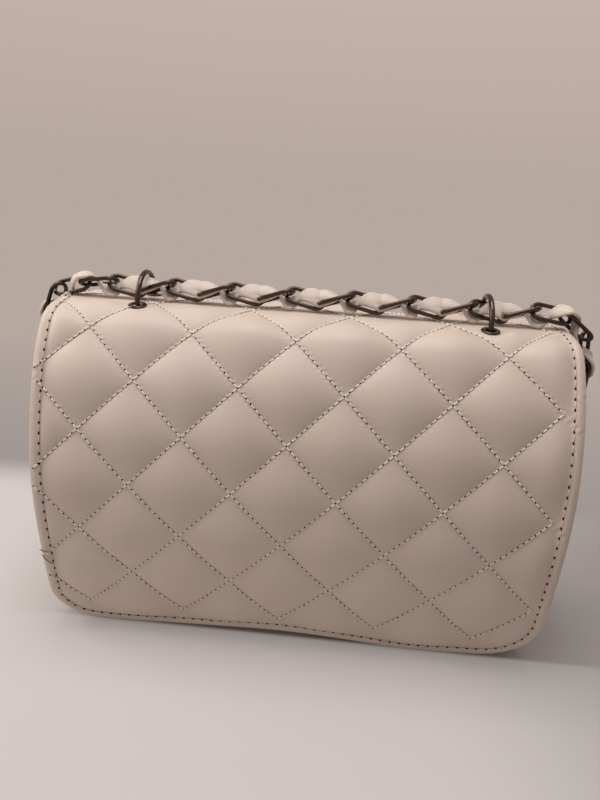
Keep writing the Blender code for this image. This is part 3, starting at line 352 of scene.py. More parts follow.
ARCS, FULL_LENGTH = side_arcs()
TOP_START = ARCS[4, 4]
BACK_START = ARCS[6, 4]
EYELET_ALONG = TOP_START + FLAT_AHEAD
REAR_EYELET_ALONG = EYELET_ALONG + RING_RADIUS / math.cos(TOP_ANGLE) * (math.pi - 2 * TOP_ANGLE)
FOLD_ALONG = EYELET_ALONG - FOLD_AHEAD
CREST_ALONG = (EYELET_ALONG + REAR_EYELET_ALONG) / 2


def side_point(along, depth=0.0):
    """(y, z, angle) arrays at lengths along the side view, taken inwards by the depth."""
    along = np.asarray(along, float)
    index = np.clip(np.searchsorted(ARCS[:, 4], along, side="right") - 1, 0, len(ARCS) - 1)
    first, radius, y, z, begin = (ARCS[index, k] for k in range(5))
    angle = first + (along - begin) / radius
    y = y + radius * (np.cos(first) - np.cos(angle)) + depth * np.cos(angle)
    z = z + radius * (np.sin(angle) - np.sin(first)) - depth * np.sin(angle)
    return y, z, angle


def wall_y(front, height, depth):
    """The y of the front or back wall at each height, the wall being this deep under the outer leather."""
    reach = np.linspace(0, TOP_START, 400) if front else np.linspace(FULL_LENGTH, BACK_START, 400)
    y, z, _ = side_point(reach, depth)
    return np.interp(height, z, y)


def on_leather(x, along, lift):
    """Points on or over the outer leather, and its outward normals."""
    y, z, angle = side_point(along, -np.asarray(lift))
    normals = np.stack([np.zeros_like(angle), -np.cos(angle), np.sin(angle)], -1)
    return np.stack([np.asarray(x) + 0 * angle, y, z], -1), normals


# Outline of the outer leather, in x and length along


def corner(distance, radius):
    """How far a round corner draws the side in, at this distance from the end."""
    inside = np.clip(radius - distance, 0, radius)
    return radius - np.sqrt(np.maximum(radius**2 - inside**2, 0))


def smooth_step(value, low, high):
    t = np.clip((value - low) / (high - low), 0, 1)
    return t * t * (3 - 2 * t)


def draw_in(columns, half, core, left, right):
    """Columns of an even grid, the outer ones drawn in to a row's own left and right ends."""
    share = np.clip((np.abs(columns) - core) / (half - core), 0, 1)
    ends = np.where(columns < 0, left, right)
    return np.where(share > 0, np.sign(columns) * core + share * (ends - np.sign(columns) * core), columns)


def left_edge(along):
    flare = LEFT_FLARE * smooth_step(along, *LEFT_FLARE_REACH)
    flare = flare * (1 - smooth_step(along, CREST_ALONG, BACK_START + FLARE_ON_BACK))
    narrow = LEFT_NARROW * (1 - smooth_step(along, *LEFT_NARROW_REACH))
    edge = -FACE_HALF_WIDTH - flare + narrow
    return edge + corner(along, CORNER_LEFT) + corner(FULL_LENGTH - along, CORNER_BACK)


def right_edge(along):
    edge = FACE_HALF_WIDTH - RIGHT_NARROW * (1 - smooth_step(along, *RIGHT_NARROW_REACH))
    return edge - corner(along, CORNER_RIGHT) - corner(FULL_LENGTH - along, CORNER_BACK)


def grid_rows():
    """Row lengths: close together in the round corners, and in step with the quilting between them."""
    step = QUILT_DOWN / CELLS_PER_STEP
    low = max(CORNER_LEFT, CORNER_RIGHT)
    high = FULL_LENGTH - CORNER_BACK
    bottom = low * (1 - np.cos(np.radians(np.linspace(0, 90, 24))))
    back = FULL_LENGTH - RIM_RADIUS - CORNER_BACK * (1 - np.cos(np.radians(np.linspace(90, 0, 18))))
    first = math.ceil((low + RIM_RADIUS + step / 2 - QUILT_ALONG) / step)
    last = math.floor((high - RIM_RADIUS - step / 2 - QUILT_ALONG) / step)
    middle = QUILT_ALONG + step * np.arange(first, last + 1)
    return np.concatenate([bottom + RIM_RADIUS, middle, back])


def grid_columns():
    step = QUILT_ACROSS / CELLS_PER_STEP
    first = math.ceil((-FACE_HALF_WIDTH + step / 2 - QUILT_X) / step)
    last = math.floor((FACE_HALF_WIDTH - step / 2 - QUILT_X) / step)
    middle = QUILT_X + step * np.arange(first, last + 1)
    return np.concatenate([[-FACE_HALF_WIDTH], middle, [FACE_HALF_WIDTH]])


def leather_grid():
    """x and length along of each point of the leather's face, drawn in at the round corners.

    The flap's lower edge isn't quite straight, so the rows near it follow its waves."""
    x, along = np.meshgrid(grid_columns(), grid_rows())
    core = FACE_HALF_WIDTH - max(CORNER_RIGHT, CORNER_BACK) - COVER_DRAW_MARGIN
    left, right = left_edge(along - RIM_RADIUS), right_edge(along - RIM_RADIUS)
    x = draw_in(x, FACE_HALF_WIDTH, core, left, right)
    wave = sum(rise * np.exp(-(((x - middle) / half) ** 2)) for rise, middle, half in HEM_WAVES)
    return x, along + wave * (1 - smooth_step(along, 0, HEM_WAVE_REACH))


def round_loop(loop, step, whole=True):
    """Points at even steps round a closed loop, a whole number of them or with a shorter last step."""
    closed = np.concatenate([loop, loop[:1]])
    reach = np.concatenate([[0], np.cumsum(np.linalg.norm(np.diff(closed, axis=0), axis=1))])
    count = round(reach[-1] / step)
    at = np.arange(count) * reach[-1] / count if whole else np.arange(0, reach[-1], step)
    return np.stack([np.interp(at, reach, closed[:, k]) for k in range(2)], -1)


def inset_path(loop, inset, pitch):
    """Points at even steps on a path that runs inside a closed outline."""
    ahead = np.roll(loop, -3, 0) - np.roll(loop, 3, 0)
    inward = unit(np.stack([-ahead[:, 1], ahead[:, 0]], -1))
    return round_loop(loop + inward * inset, pitch)


GRID_X, GRID_ALONG = leather_grid()
OUTLINE = border_of(np.stack([GRID_X, GRID_ALONG], -1))
DENSE_OUTLINE = round_loop(OUTLINE, OUTLINE_STEP, whole=False)
EDGE_SEAM = inset_path(OUTLINE, SEAM_INSET, EDGE_PITCH)


def edge_distance(points):
    """Distance from each (x, along) point to the leather's outline."""
    tree = kdtree.KDTree(len(DENSE_OUTLINE))
    for index, (x, along) in enumerate(DENSE_OUTLINE):
        tree.insert((x, along, 0), index)
    tree.balance()
    found = np.array([tree.find((x, along, 0))[2] for x, along in points.reshape(-1, 2)])
    return found.reshape(points.shape[:-1])


# Form of the padded leather


def seam_distances(x, along):
    """Distance to the nearest quilting seam of each slant, the seams ending at the last crossings."""
    across = (x - QUILT_X) / QUILT_ACROSS
    down = (QUILT_ALONG - along) / QUILT_DOWN
    held_across = np.minimum(across, QUILT_LAST_ACROSS)
    held_down = np.minimum(down, QUILT_LAST_DOWN)
    past = np.hypot((across - held_across) * QUILT_ACROSS, (down - held_down) * QUILT_DOWN)
    slope = math.hypot(1 / QUILT_ACROSS, 1 / QUILT_DOWN)
    found = []
    for total in (held_across + held_down, held_across - held_down):
        off = np.abs(total - 2 * np.round(total / 2)) / slope
        found.append(np.hypot(off, past))
    return found


def pillow(distance, reach, power):
    """0 at a seam, rising steeply beside it and levelling out at the reach."""
    t = np.clip(distance / reach, 0, 1)
    return np.sin(t * math.pi / 2) ** power


def leather_height(x, along):
    """How far the padded leather stands over its nominal face."""
    half_span = 1 / math.hypot(1 / QUILT_ACROSS, 1 / QUILT_DOWN)
    edge = edge_distance(np.stack([x, along], -1))
    one, other = (pillow(distance, half_span, PUFF_POWER) for distance in seam_distances(x, along))
    puff = one * other * pillow(np.clip(edge - SEAM_INSET, 0, None), BORDER_REACH, BORDER_POWER)
    back = smooth_step(along, CREST_ALONG, BACK_START + FLATTER_ON_BACK)
    height = PUFF * (1 - BACK_FLATTER_SHARE * back) * puff - SEAM_DEPTH * (1 - BACK_SHALLOWER_SHARE * back)
    # Outside the edge seam the leather is rolled over.
    outside = np.clip(edge / SEAM_INSET, 0, 1)
    roll = np.sin(np.pi * outside) ** ROLL_POWER * ROLL_HEIGHT - ROLL_SINK + RIM_LIFT * (1 - outside)
    height = np.where(edge < SEAM_INSET, roll, height)
    # The chain's weight and the eyelets hold the leather down on the crest.
    crest = smooth_step(np.abs(along - CREST_ALONG - CREST_SINK_SHIFT), *CREST_SINK_REACH)
    height = -CREST_SINK + (height + CREST_SINK) * crest
    for side in (-EYELET_X, EYELET_X):
        for row in (EYELET_ALONG, REAR_EYELET_ALONG):
            away = smooth_step(np.hypot(x - side, along - row), *EYELET_SINK_REACH)
            height = -EYELET_SINK + (height + EYELET_SINK) * away
    return height


# Closed sheets with a rounded rim


def closed_sheet(name, points, normals, thickness, finish, stride=1, rim_steps=5, uv=None):
    """A sheet from a grid of outer points: a half-round rim, and a coarser inner face that closes it."""
    count_rows, count_columns = points.shape[:2]
    rows = sorted(set(range(0, count_rows, stride)) | {count_rows - 1})
    columns = sorted(set(range(0, count_columns, stride)) | {count_columns - 1})
    flat_points, flat_normals = points.reshape(-1, 3), normals.reshape(-1, 3)
    flat_thickness = np.broadcast_to(thickness, points.shape[:2]).reshape(-1)
    index = np.arange(len(flat_points)).reshape(count_rows, count_columns)
    cells = np.stack([index[:-1, :-1], index[:-1, 1:], index[1:, 1:], index[1:, :-1]], -1)
    faces = cells.reshape(-1, 4).tolist()
    verts = flat_points.tolist()
    # Each new point repeats the map place of the outer point that it comes from.
    sources = list(range(len(verts)))
    loop = border_of(index)
    border = flat_points[loop]
    outward = unit(np.cross(np.roll(border, -1, 0) - np.roll(border, 1, 0), flat_normals[loop]))
    half = flat_thickness[loop][:, None] / 2
    previous = loop
    for step in range(1, rim_steps + 1):
        turn = math.pi * step / rim_steps
        ring = border + outward * half * math.sin(turn) - flat_normals[loop] * half * (1 - math.cos(turn))
        current = np.arange(len(verts), len(verts) + len(loop))
        verts += ring.tolist()
        sources += loop.tolist()
        faces += zip(np.roll(previous, -1), previous, current, np.roll(current, -1))
        previous = current
    rim_of = dict(zip(loop.tolist(), previous.tolist()))
    inner = {}
    for r in rows:
        for c in columns:
            outer = int(index[r, c])
            if outer in rim_of:
                inner[(r, c)] = rim_of[outer]
                continue
            inner[(r, c)] = len(verts)
            verts.append((flat_points[outer] - flat_normals[outer] * flat_thickness[outer]).tolist())
            sources.append(outer)

    def rim_between(r0, c0, r1, c1):
        """The rim's own points from one kept point to the next, where both lie on the border."""
        if r0 == r1 and r0 in (0, count_rows - 1):
            step = 1 if c1 > c0 else -1
            return [rim_of[int(index[r0, c])] for c in range(c0 + step, c1, step)]
        if c0 == c1 and c0 in (0, count_columns - 1):
            step = 1 if r1 > r0 else -1
            return [rim_of[int(index[r, c0])] for r in range(r0 + step, r1, step)]
        return []

    for r0, r1 in zip(rows, rows[1:]):
        for c0, c1 in zip(columns, columns[1:]):
            corners = [(r0, c0), (r1, c0), (r1, c1), (r0, c1)]
            ring = []
            for a, b in zip(corners, corners[1:] + corners[:1]):
                ring.append(inner[a])
                ring += rim_between(*a, *b)
            faces.append(tuple(ring))
    made = mesh_object(name, verts, faces, finish)
    if uv is not None:
        layer = made.data.uv_layers.new(name="leather")
        picked = [sources[at.vertex_index] for at in made.data.loops]
        layer.data.foreach_set("uv", uv.reshape(-1, 2)[picked].astype(np.float32).ravel())
    return made


# Materials


def finish_named(name):
    """A new material with its tree, its shader and the Object coordinates that its patterns read."""
    made = bpy.data.materials.new(name)
    made.use_nodes = True
    tree = made.node_tree
    place = node(tree, "ShaderNodeTexCoord").outputs["Object"]
    return made, tree, tree.nodes["Principled BSDF"], place


def stitch_puckers(tree, across, down):
    """Small folds that the thread draws beside each seam: 1 between two needle holes, -1 at a hole."""
    folds = []
    for slant in (1, -1):
        sums = [
            node(tree, "ShaderNodeMath", {0: down, 1: sign, 2: across}, operation="MULTIPLY_ADD").outputs[0]
            for sign in (slant, -slant)
        ]
        off = node(tree, "ShaderNodeMath", {0: sums[0], 1: 1.0}, operation="PINGPONG").outputs[0]
        beside = node(
            tree, "ShaderNodeMapRange",
            {"Value": off, "From Min": 0.0, "From Max": 0.17, "To Min": 1.0, "To Max": 0.0},
            interpolation_type="SMOOTHSTEP",
        ).outputs["Result"]
        pace = math.pi * STITCHES_PER_CELL
        turn = node(tree, "ShaderNodeMath", {0: sums[1], 1: pace}, operation="MULTIPLY").outputs[0]
        wave = node(tree, "ShaderNodeMath", {0: turn}, operation="COSINE").outputs[0]
        folds.append(node(tree, "ShaderNodeMath", {0: wave, 1: beside}, operation="MULTIPLY").outputs[0])
    return node(tree, "ShaderNodeMath", {0: folds[0], 1: folds[1]}, operation="ADD").outputs[0]


def quilted_relief(tree, normal, map_name):
    """A normal with the puckers beside the seams, and the level creases that the filling makes."""
    flat = node(tree, "ShaderNodeUVMap", uv_map=map_name).outputs["UV"]
    spot = node(tree, "ShaderNodeSeparateXYZ", {0: flat}).outputs
    counts = [
        node(tree, "ShaderNodeMath", values, operation="MULTIPLY_ADD").outputs[0]
        for values in (
            {0: spot["X"], 1: 1 / QUILT_ACROSS, 2: -QUILT_X / QUILT_ACROSS},
            {0: spot["Y"], 1: -1 / QUILT_DOWN, 2: QUILT_ALONG / QUILT_DOWN},
        )
    ]
    puckers = {"Height": stitch_puckers(tree, *counts), "Strength": 0.45, "Distance": 0.22 * MM}
    drawn = node(tree, "ShaderNodeBump", {**puckers, "Normal": normal}).outputs["Normal"]
    # The creases are about 8 mm long and 0.7 mm apart.
    narrowed = node(tree, "ShaderNodeMath", {0: spot["X"], 1: 0.09}, operation="MULTIPLY").outputs[0]
    stretched = node(tree, "ShaderNodeCombineXYZ", {"X": narrowed, "Y": spot["Y"]}).outputs[0]
    noise = {"Vector": stretched, "Scale": 1 / (1.8 * MM), "Detail": 2.0, "Roughness": 0.6}
    creases = node(tree, "ShaderNodeTexNoise", noise).outputs["Fac"]
    folded = {"Height": creases, "Strength": 0.22, "Distance": 0.18 * MM, "Normal": drawn}
    return node(tree, "ShaderNodeBump", folded).outputs["Normal"]


def leather_finish(name, hex_colour, grain_mm, map_name=None):
    """Imitation leather: a polyurethane skin on cloth, rolled with a fine pebble, so it has a satin sheen.

    With the name of its map of (x, length along), it also has the quilting's relief."""
    made, tree, shader, place = finish_named(name)
    # The real pebble is about 0.4 mm; drawn at twice that, it still shows in a picture of the whole bag.
    pebble = {"Vector": place, "Scale": 1 / (grain_mm * MM)}
    grain = node(tree, "ShaderNodeTexVoronoi", pebble, feature="SMOOTH_F1").outputs["Distance"]
    noises = [
        node(tree, "ShaderNodeTexNoise", {"Vector": place, "Scale": 1 / (size_mm * MM), "Detail": detail})
        for size_mm, detail in ((0.45, 2.0), (38.0, 3.0), (9.0, 4.0))
    ]
    fine, cloudy, handled = (noise.outputs["Fac"] for noise in noises)
    dark, pale = (
        tuple(min(1, c * share) for c, share in zip(linear(hex_colour), shares))
        for shares in ((0.97, 0.94, 0.92, 1), (1.03, 1.05, 1.08, 1))
    )
    tint = node(tree, "ShaderNodeMix", {"Factor": cloudy, "A": dark, "B": pale}, data_type="RGBA")
    wear = {"Value": handled, "From Min": 0.3, "From Max": 0.7, "To Min": 0.40, "To Max": 0.56}
    rough = node(tree, "ShaderNodeMapRange", wear)
    normal = node(tree, "ShaderNodeBump", {"Height": grain, "Strength": 0.12, "Distance": 0.15 * MM})
    pores = {"Height": fine, "Strength": 0.14, "Distance": 0.10 * MM, "Normal": normal.outputs["Normal"]}
    normal = node(tree, "ShaderNodeBump", pores).outputs["Normal"]
    if map_name:
        normal = quilted_relief(tree, normal, map_name)
    fill_inputs(tree, shader, {
        "Base Color": tint.outputs["Result"],
        "Roughness": rough.outputs["Result"],
        "Normal": normal,
        "Specular IOR Level": 0.4,
        "Sheen Weight": 0.06,
        "Sheen Roughness": 0.5,
    })
    return made


def lace_finish():
    """The strap's lace: the same skin on both sides of a core, its edges folded in and pressed to a line."""
    made = leather_finish("lace_pu_leather", "DCCBBD", 0.8)
    tree = made.node_tree
    normal = tree.nodes["Principled BSDF"].inputs["Normal"]
    flat = node(tree, "ShaderNodeUVMap", uv_map="strip").outputs["UV"]
    strip = node(tree, "ShaderNodeSeparateXYZ", {0: flat}).outputs
    side = node(tree, "ShaderNodeMath", {0: strip["Y"]}, operation="ABSOLUTE").outputs[0]
    near_fold = {0: side, 1: LACE_FOLD, 2: 0.25 * MM}
    fold = node(tree, "ShaderNodeMath", near_fold, operation="COMPARE").outputs[0]
    pressed = {"Height": fold, "Strength": 0.5, "Distance": 0.2 * MM, "Normal": normal.links[0].from_socket}
    tree.links.new(node(tree, "ShaderNodeBump", pressed, invert=True).outputs["Normal"], normal)
    return made


def thread_finish(name, hex_colour):
    """Spun polyester thread: matt, with a twist that catches light."""
    made, tree, shader, place = finish_named(name)
    strands = {"Vector": place, "Scale": 1 / (0.3 * MM), "Detail": 1.0}
    twist = node(tree, "ShaderNodeTexNoise", strands).outputs["Fac"]
    bump = node(tree, "ShaderNodeBump", {"Height": twist, "Strength": 0.3, "Distance": 0.1 * MM})
    fill_inputs(tree, shader, {
        "Base Color": linear(hex_colour),
        "Roughness": 0.6,
        "Normal": bump.outputs["Normal"],
    })
    return made


def mottled_finish(name, dark, pale, spot_mm):
    """A matt material in two near colours: pressed board fibres, or the painted shade inside a needle hole.
    """
    made, tree, shader, place = finish_named(name)
    spots = node(
        tree, "ShaderNodeTexNoise",
        {"Vector": place, "Scale": 1 / (spot_mm * MM), "Detail": 4.0, "Distortion": 1.5},
    ).outputs["Fac"]
    tones = {"Factor": spots, "A": linear(dark), "B": linear(pale)}
    bump = node(tree, "ShaderNodeBump", {"Height": spots, "Strength": 0.3, "Distance": 0.1 * MM})
    fill_inputs(tree, shader, {
        "Base Color": node(tree, "ShaderNodeMix", tones, data_type="RGBA").outputs["Result"],
        "Roughness": 0.9,
        "Specular IOR Level": 0.1,
        "Normal": bump.outputs["Normal"],
    })
    return made


def metal_finish(name, hex_colour, roughness):
    """Dark nickel plate on steel wire: polished, with faint rub marks."""
    made, tree, shader, place = finish_named(name)
    marks = {"Vector": place, "Scale": 1 / (1.2 * MM), "Detail": 3.0}
    rub = node(tree, "ShaderNodeTexNoise", marks).outputs["Fac"]
    wear = {"Value": rub, "To Min": roughness - 0.05, "To Max": roughness + 0.08}
    rough = node(tree, "ShaderNodeMapRange", wear)
    rubbed = tuple(c * 1.25 for c in linear(hex_colour)[:3]) + (1.0,)
    tones = {"Factor": rub, "A": linear(hex_colour), "B": rubbed}
    fill_inputs(tree, shader, {
        "Base Color": node(tree, "ShaderNodeMix", tones, data_type="RGBA").outputs["Result"],
        "Roughness": rough.outputs["Result"],
        "Metallic": 1.0,
    })
    return made


def cloth_finish():
    """Plain woven lining: threads about 0.8 mm apart, drawn coarse enough to show, so dull and soft."""
    made, tree, shader, place = finish_named("woven_lining")
    strands = {"Vector": place, "Scale": 1 / (2.5 * MM), "Distortion": 0.4}
    warp, weft = (
        node(tree, "ShaderNodeTexWave", strands, bands_direction=axis).outputs["Fac"] for axis in ("X", "Z")
    )
    weave = node(tree, "ShaderNodeMath", {0: warp, 1: weft}, operation="MULTIPLY").outputs[0]
    bump = node(tree, "ShaderNodeBump", {"Height": weave, "Strength": 0.4, "Distance": 0.2 * MM})
    tones = {"Factor": weave, "A": linear("A89A88"), "B": linear("BCAE9C")}
    fill_inputs(tree, shader, {
        "Base Color": node(tree, "ShaderNodeMix", tones, data_type="RGBA").outputs["Result"],
        "Roughness": 0.85,
        "Sheen Weight": 0.2,
        "Normal": bump.outputs["Normal"],
    })
    return made


QUILTED = leather_finish("quilted_pu_leather", "D6C3B4", 0.9, "leather")
SMOOTH = leather_finish("smooth_pu_leather", "D6C3B4", 0.9)
LACE_LEATHER = lace_finish()
THREAD = thread_finish("polyester_thread", "F3E9DD")
EDGE_THREAD = thread_finish("edge_thread", "DCCBBD")
# The loose thread ends are dark brown.
THREAD_END = thread_finish("dark_thread_end", "6B5648")
# Painted shade: the needle holes are drawn as dark beads in this material.
HOLE = mottled_finish("needle_hole_shade", "2E1408", "4A2612", 0.5)
METAL = metal_finish("dark_nickel_wire", "4A3E39", 0.10)
BOARD = mottled_finish("fibre_board", "7C6D5A", "9C8C76", 1.6)
CLOTH = cloth_finish()


# Turned shapes


def turned(name, profile, place, finish, steps=40):
    """A profile of (radius, height) points turned about Z: a closed run, or one from axis to axis."""
    points, starts = [], []
    for radius, height in profile:
        starts.append(len(points))
        for step in range(steps if radius else 1):
            angle = 2 * math.pi * step / steps
            points.append(place @ Vector((radius * math.cos(angle), radius * math.sin(angle), height)))
    faces = []
    closed = profile[0][0] > 0
    for a in range(len(profile) - (not closed)):
        b = (a + 1) % len(profile)
        for step in range(steps):
            after = (step + 1) % steps
            ring = []
            for row, turn in ((a, step), (a, after), (b, after), (b, step)):
                ring.append(starts[row] + (turn if profile[row][0] else 0))
            faces.append(tuple(dict.fromkeys(ring)))
    made = mesh_object(name, points, faces, finish)
    outwards(made)
    made.data.set_sharp_from_angle(angle=math.radians(32))
    return made


def bow(centre_radius, centre_height, width, height, first, last, steps):
    """Profile points on an oval, for a rolled edge."""
    angles = np.radians(np.linspace(first, last, steps))
    return [(centre_radius + width * math.cos(a), centre_height + height * math.sin(a)) for a in angles]


def seat(along, depth, x):
    """Where a metal piece sits: Z is the leather's outward normal, the origin at this depth."""
    y, z, angle = (float(v) for v in side_point(along, depth))
    outward = Vector((0, -math.cos(angle), math.sin(angle)))
    side = Vector((1, 0, 0))
    turn = Matrix((side, outward.cross(side), outward)).transposed().to_4x4()
    return Matrix.Translation((x, y, z)) @ turn


# The outer leather: flap, crest and back in one padded sheet


def punch_eyelets(piece):
    """Cuts the four eyelet holes through a leather layer."""
    profile = [(0, -PUNCH_DEPTH), (EYELET_HOLE, -PUNCH_DEPTH), (EYELET_HOLE, PUNCH_DEPTH), (0, PUNCH_DEPTH)]
    for side in (-EYELET_X, EYELET_X):
        for along in (EYELET_ALONG, REAR_EYELET_ALONG):
            punch = turned("punch", profile, seat(along, 0.0, side), piece.data.materials[0], steps=32)
            cut = piece.modifiers.new("eyelet_hole", "BOOLEAN")
            cut.operation = "DIFFERENCE"
            cut.solver = "EXACT"
            cut.object = punch
            graph = bpy.context.evaluated_depsgraph_get()
            holed = bpy.data.meshes.new_from_object(
                piece.evaluated_get(graph), preserve_all_data_layers=True, depsgraph=graph
            )
            piece.modifiers.clear()
            piece.data = holed
            bpy.data.objects.remove(punch)


def make_cover():
    """The whole outer leather, its wall thinner behind the fold, and thicker by the padding everywhere."""
    height = leather_height(GRID_X, GRID_ALONG)
    points, normals = on_leather(GRID_X, GRID_ALONG, height)
    lean = smooth_step(GRID_ALONG, FOLD_ALONG - FOLD_SPREAD, FOLD_ALONG + FOLD_SPREAD)
    wall = FLAP_WALL + (BACK_WALL - FLAP_WALL) * lean
    places = np.stack([GRID_X, GRID_ALONG], -1)
    cover = closed_sheet("quilted_cover", points, normals, wall + height, QUILTED, stride=4, uv=places)
    punch_eyelets(cover)
    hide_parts("flap_panel", "back_panel")
    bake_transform(cover)
    return cover


# Chain: where each link lies


LINK_PITCH = LINK_LENGTH - 2 * LINK_WIRE - LINK_PLAY
LINK_BEND = (LINK_WIDTH - LINK_WIRE) / 2
LINK_END = LINK_LENGTH / 2 - LINK_WIRE / 2 - LINK_BEND
TOP_SPACING = math.sqrt(LINK_PITCH**2 - (2 * LINK_WAVE) ** 2)
TOP_REACH = TOP_SPACING * TOP_LINKS / 2
RING_Y = float(side_point(EYELET_ALONG)[0]) + RING_RADIUS
RING_Z = float(side_point(EYELET_ALONG)[1])


def chain_height():
    """The middle of the chain over the crest, its lowest link just over the leather."""
    crest = RING_Z + RING_RADIUS / math.cos(TOP_ANGLE) * (1 - math.sin(TOP_ANGLE))
    envelope = LINK_BEND * math.cos(TOP_ROLLS[0]) + LINK_END * 2 * LINK_WAVE / LINK_PITCH + LINK_WIRE / 2
    return crest + SEAT_GAP + envelope


def walk(start, legs):
    """Samples (place, outward) about a millimetre apart along legs of (length, angle, axis)."""
    place, heading, outward = Vector(start), Vector((1, 0, 0)), Vector((0, 0, 1))
    samples = [(place.copy(), outward.copy())]
    for length, angle, axis in legs:
        steps = max(1, round(length / ROUTE_STEP))
        step = length / steps
        if angle:
            radius = length / abs(angle)
            step = 2 * radius * math.sin(abs(angle) / steps / 2)
        half = Matrix.Rotation(angle / steps / 2, 3, Vector(axis))
        for _ in range(steps):
            heading = half @ heading
            place = place + heading * step
            heading = half @ heading
            outward = half @ half @ outward
            samples.append((place.copy(), outward.copy()))
    return samples


def hidden_legs(height):
    """Down the right side, across the floor behind the bag in gentle bends, and up the left side."""
    floor = LINK_BEND * math.cos(HANGING_ROLLS[0]) + LINK_WIRE / 2
    across, quarter, flat = (0, 1, 0), math.pi / 2, (0, 0, 1)
    fall = height - floor - TURN_RADIUS - FOOT_RADIUS
    back_run = CHAIN_ROW - RING_Y - FOOT_RADIUS - CORNER_RADIUS
    row = CHAIN_RIGHT + CHAIN_LEFT - 2 * CORNER_RADIUS
    straight = (row - 8 * BEND_RADIUS * math.sin(BEND_ANGLE)) / 2
    bend = [
        (BEND_RADIUS * BEND_ANGLE, -BEND_ANGLE, flat),
        (BEND_RADIUS * 2 * BEND_ANGLE, 2 * BEND_ANGLE, flat),
        (BEND_RADIUS * BEND_ANGLE, -BEND_ANGLE, flat),
    ]
    turn, corner_turn = (TURN_RADIUS * quarter, quarter, across), (CORNER_RADIUS * quarter, quarter, flat)
    return [
        (CHAIN_RIGHT - TURN_RADIUS - CHAIN_SHIFT - TOP_REACH, 0, across),
        turn,
        (fall, 0, across),
        (FOOT_RADIUS * quarter, quarter, (1, 0, 0)),
        (back_run, 0, flat),
        corner_turn,
        (straight, 0, flat),
        *bend,
        *bend,
        (straight, 0, flat),
        corner_turn,
        (back_run, 0, flat),
        (FOOT_RADIUS * quarter, quarter, (-1, 0, 0)),
        (fall, 0, across),
        turn,
        (CHAIN_SHIFT - TOP_REACH + CHAIN_LEFT - TURN_RADIUS, 0, across),
    ]


def joint_side(index):
    """1 at a low joint, which the lace passes over, and -1 at a high one, which it passes under."""
    return 1 if (index - TOP_LINKS // 2) % 2 == 0 else -1


def chain_joints():
    """Where the links meet, all round the loop: (place, outward), from the left end of the top run."""
    height = chain_height()
    joints = []
    for index in range(TOP_LINKS + 1):
        x = CHAIN_SHIFT + (index - TOP_LINKS // 2) * TOP_SPACING
        joints.append((Vector((x, RING_Y, height - LINK_WAVE * joint_side(index))), Vector((0, 0, 1))))
    route = np.array(walk((CHAIN_SHIFT + TOP_REACH, RING_Y, height), hidden_legs(height)))
    reach = np.concatenate([[0], np.cumsum(np.linalg.norm(np.diff(route[:, 0], axis=0), axis=1))])
    count = ALL_LINKS - TOP_LINKS
    for at in np.arange(1, count) * reach[-1] / count:
        place, outward = (
            Vector([np.interp(at, reach, route[:, part, k]) for k in range(3)]) for part in (0, 1)
        )
        joints.append((place, outward.normalized()))
    return joints


def link_roll(index, count):
    """The turn of a link about the chain: its own way on top of the bag, 45 degrees either way elsewhere."""
    from_top = min(max(index - TOP_LINKS + 1, 0), count - index)
    share = min(from_top / LINKS_TO_TURN, 1)
    kind = index % 2
    return TOP_ROLLS[kind] * (1 - share) + HANGING_ROLLS[kind] * share


def link_frames(joints):
    """Each link as (centre, along, across), along the chain and across its own plane."""
    frames = []
    for index, (a, out_a) in enumerate(joints):
        b, out_b = joints[(index + 1) % len(joints)]
        step = b - a
        if index < TOP_LINKS:
            step.z *= LINK_TILTS[index % 2]
        along = step.normalized()
        outward = out_a + out_b
        outward = (outward - along * outward.dot(along)).normalized()
        across = Matrix.Rotation(link_roll(index, len(joints)), 3, along) @ outward
        frames.append((np.array((a + b) / 2), np.array(along), np.array(across)))
    return frames


JOINTS = chain_joints()
LINKS = link_frames(JOINTS)


# Repeated pieces, made by Geometry Nodes


def new_tree(name, sizes):
    """An empty geometry tree with named size inputs, and its input and output nodes."""
    tree = bpy.data.node_groups.new(name, "GeometryNodeTree")
    tree.interface.new_socket("Places", in_out="INPUT", socket_type="NodeSocketGeometry")
    for label in sizes:
        tree.interface.new_socket(label, in_out="INPUT", socket_type="NodeSocketFloat")
    tree.interface.new_socket("Shape", in_out="OUTPUT", socket_type="NodeSocketGeometry")
    return tree, node(tree, "NodeGroupInput").outputs, node(tree, "NodeGroupOutput").inputs


def place_copies(tree, given, out, shape, finish):
    """Puts a shape on every place, its X and Z along two vectors stored there, as faces in one finish."""
    along, outward = (
        node(tree, "GeometryNodeInputNamedAttribute", {"Name": label}, data_type="FLOAT_VECTOR")
        for label in ("along", "outward")
    )
    axes = {0: along.outputs["Attribute"], 1: outward.outputs["Attribute"]}
    turn = node(tree, "FunctionNodeAxesToRotation", axes, primary_axis="X", secondary_axis="Z")
    spread = {"Points": given["Places"], "Instance": shape, "Rotation": turn.outputs["Rotation"]}
    copies = node(tree, "GeometryNodeInstanceOnPoints", spread)
    real = node(tree, "GeometryNodeRealizeInstances", {"Geometry": copies.outputs[0]})
    coated = node(tree, "GeometryNodeSetMaterial", {"Geometry": real.outputs[0], "Material": finish})
    tree.links.new(coated.outputs[0], out["Shape"])


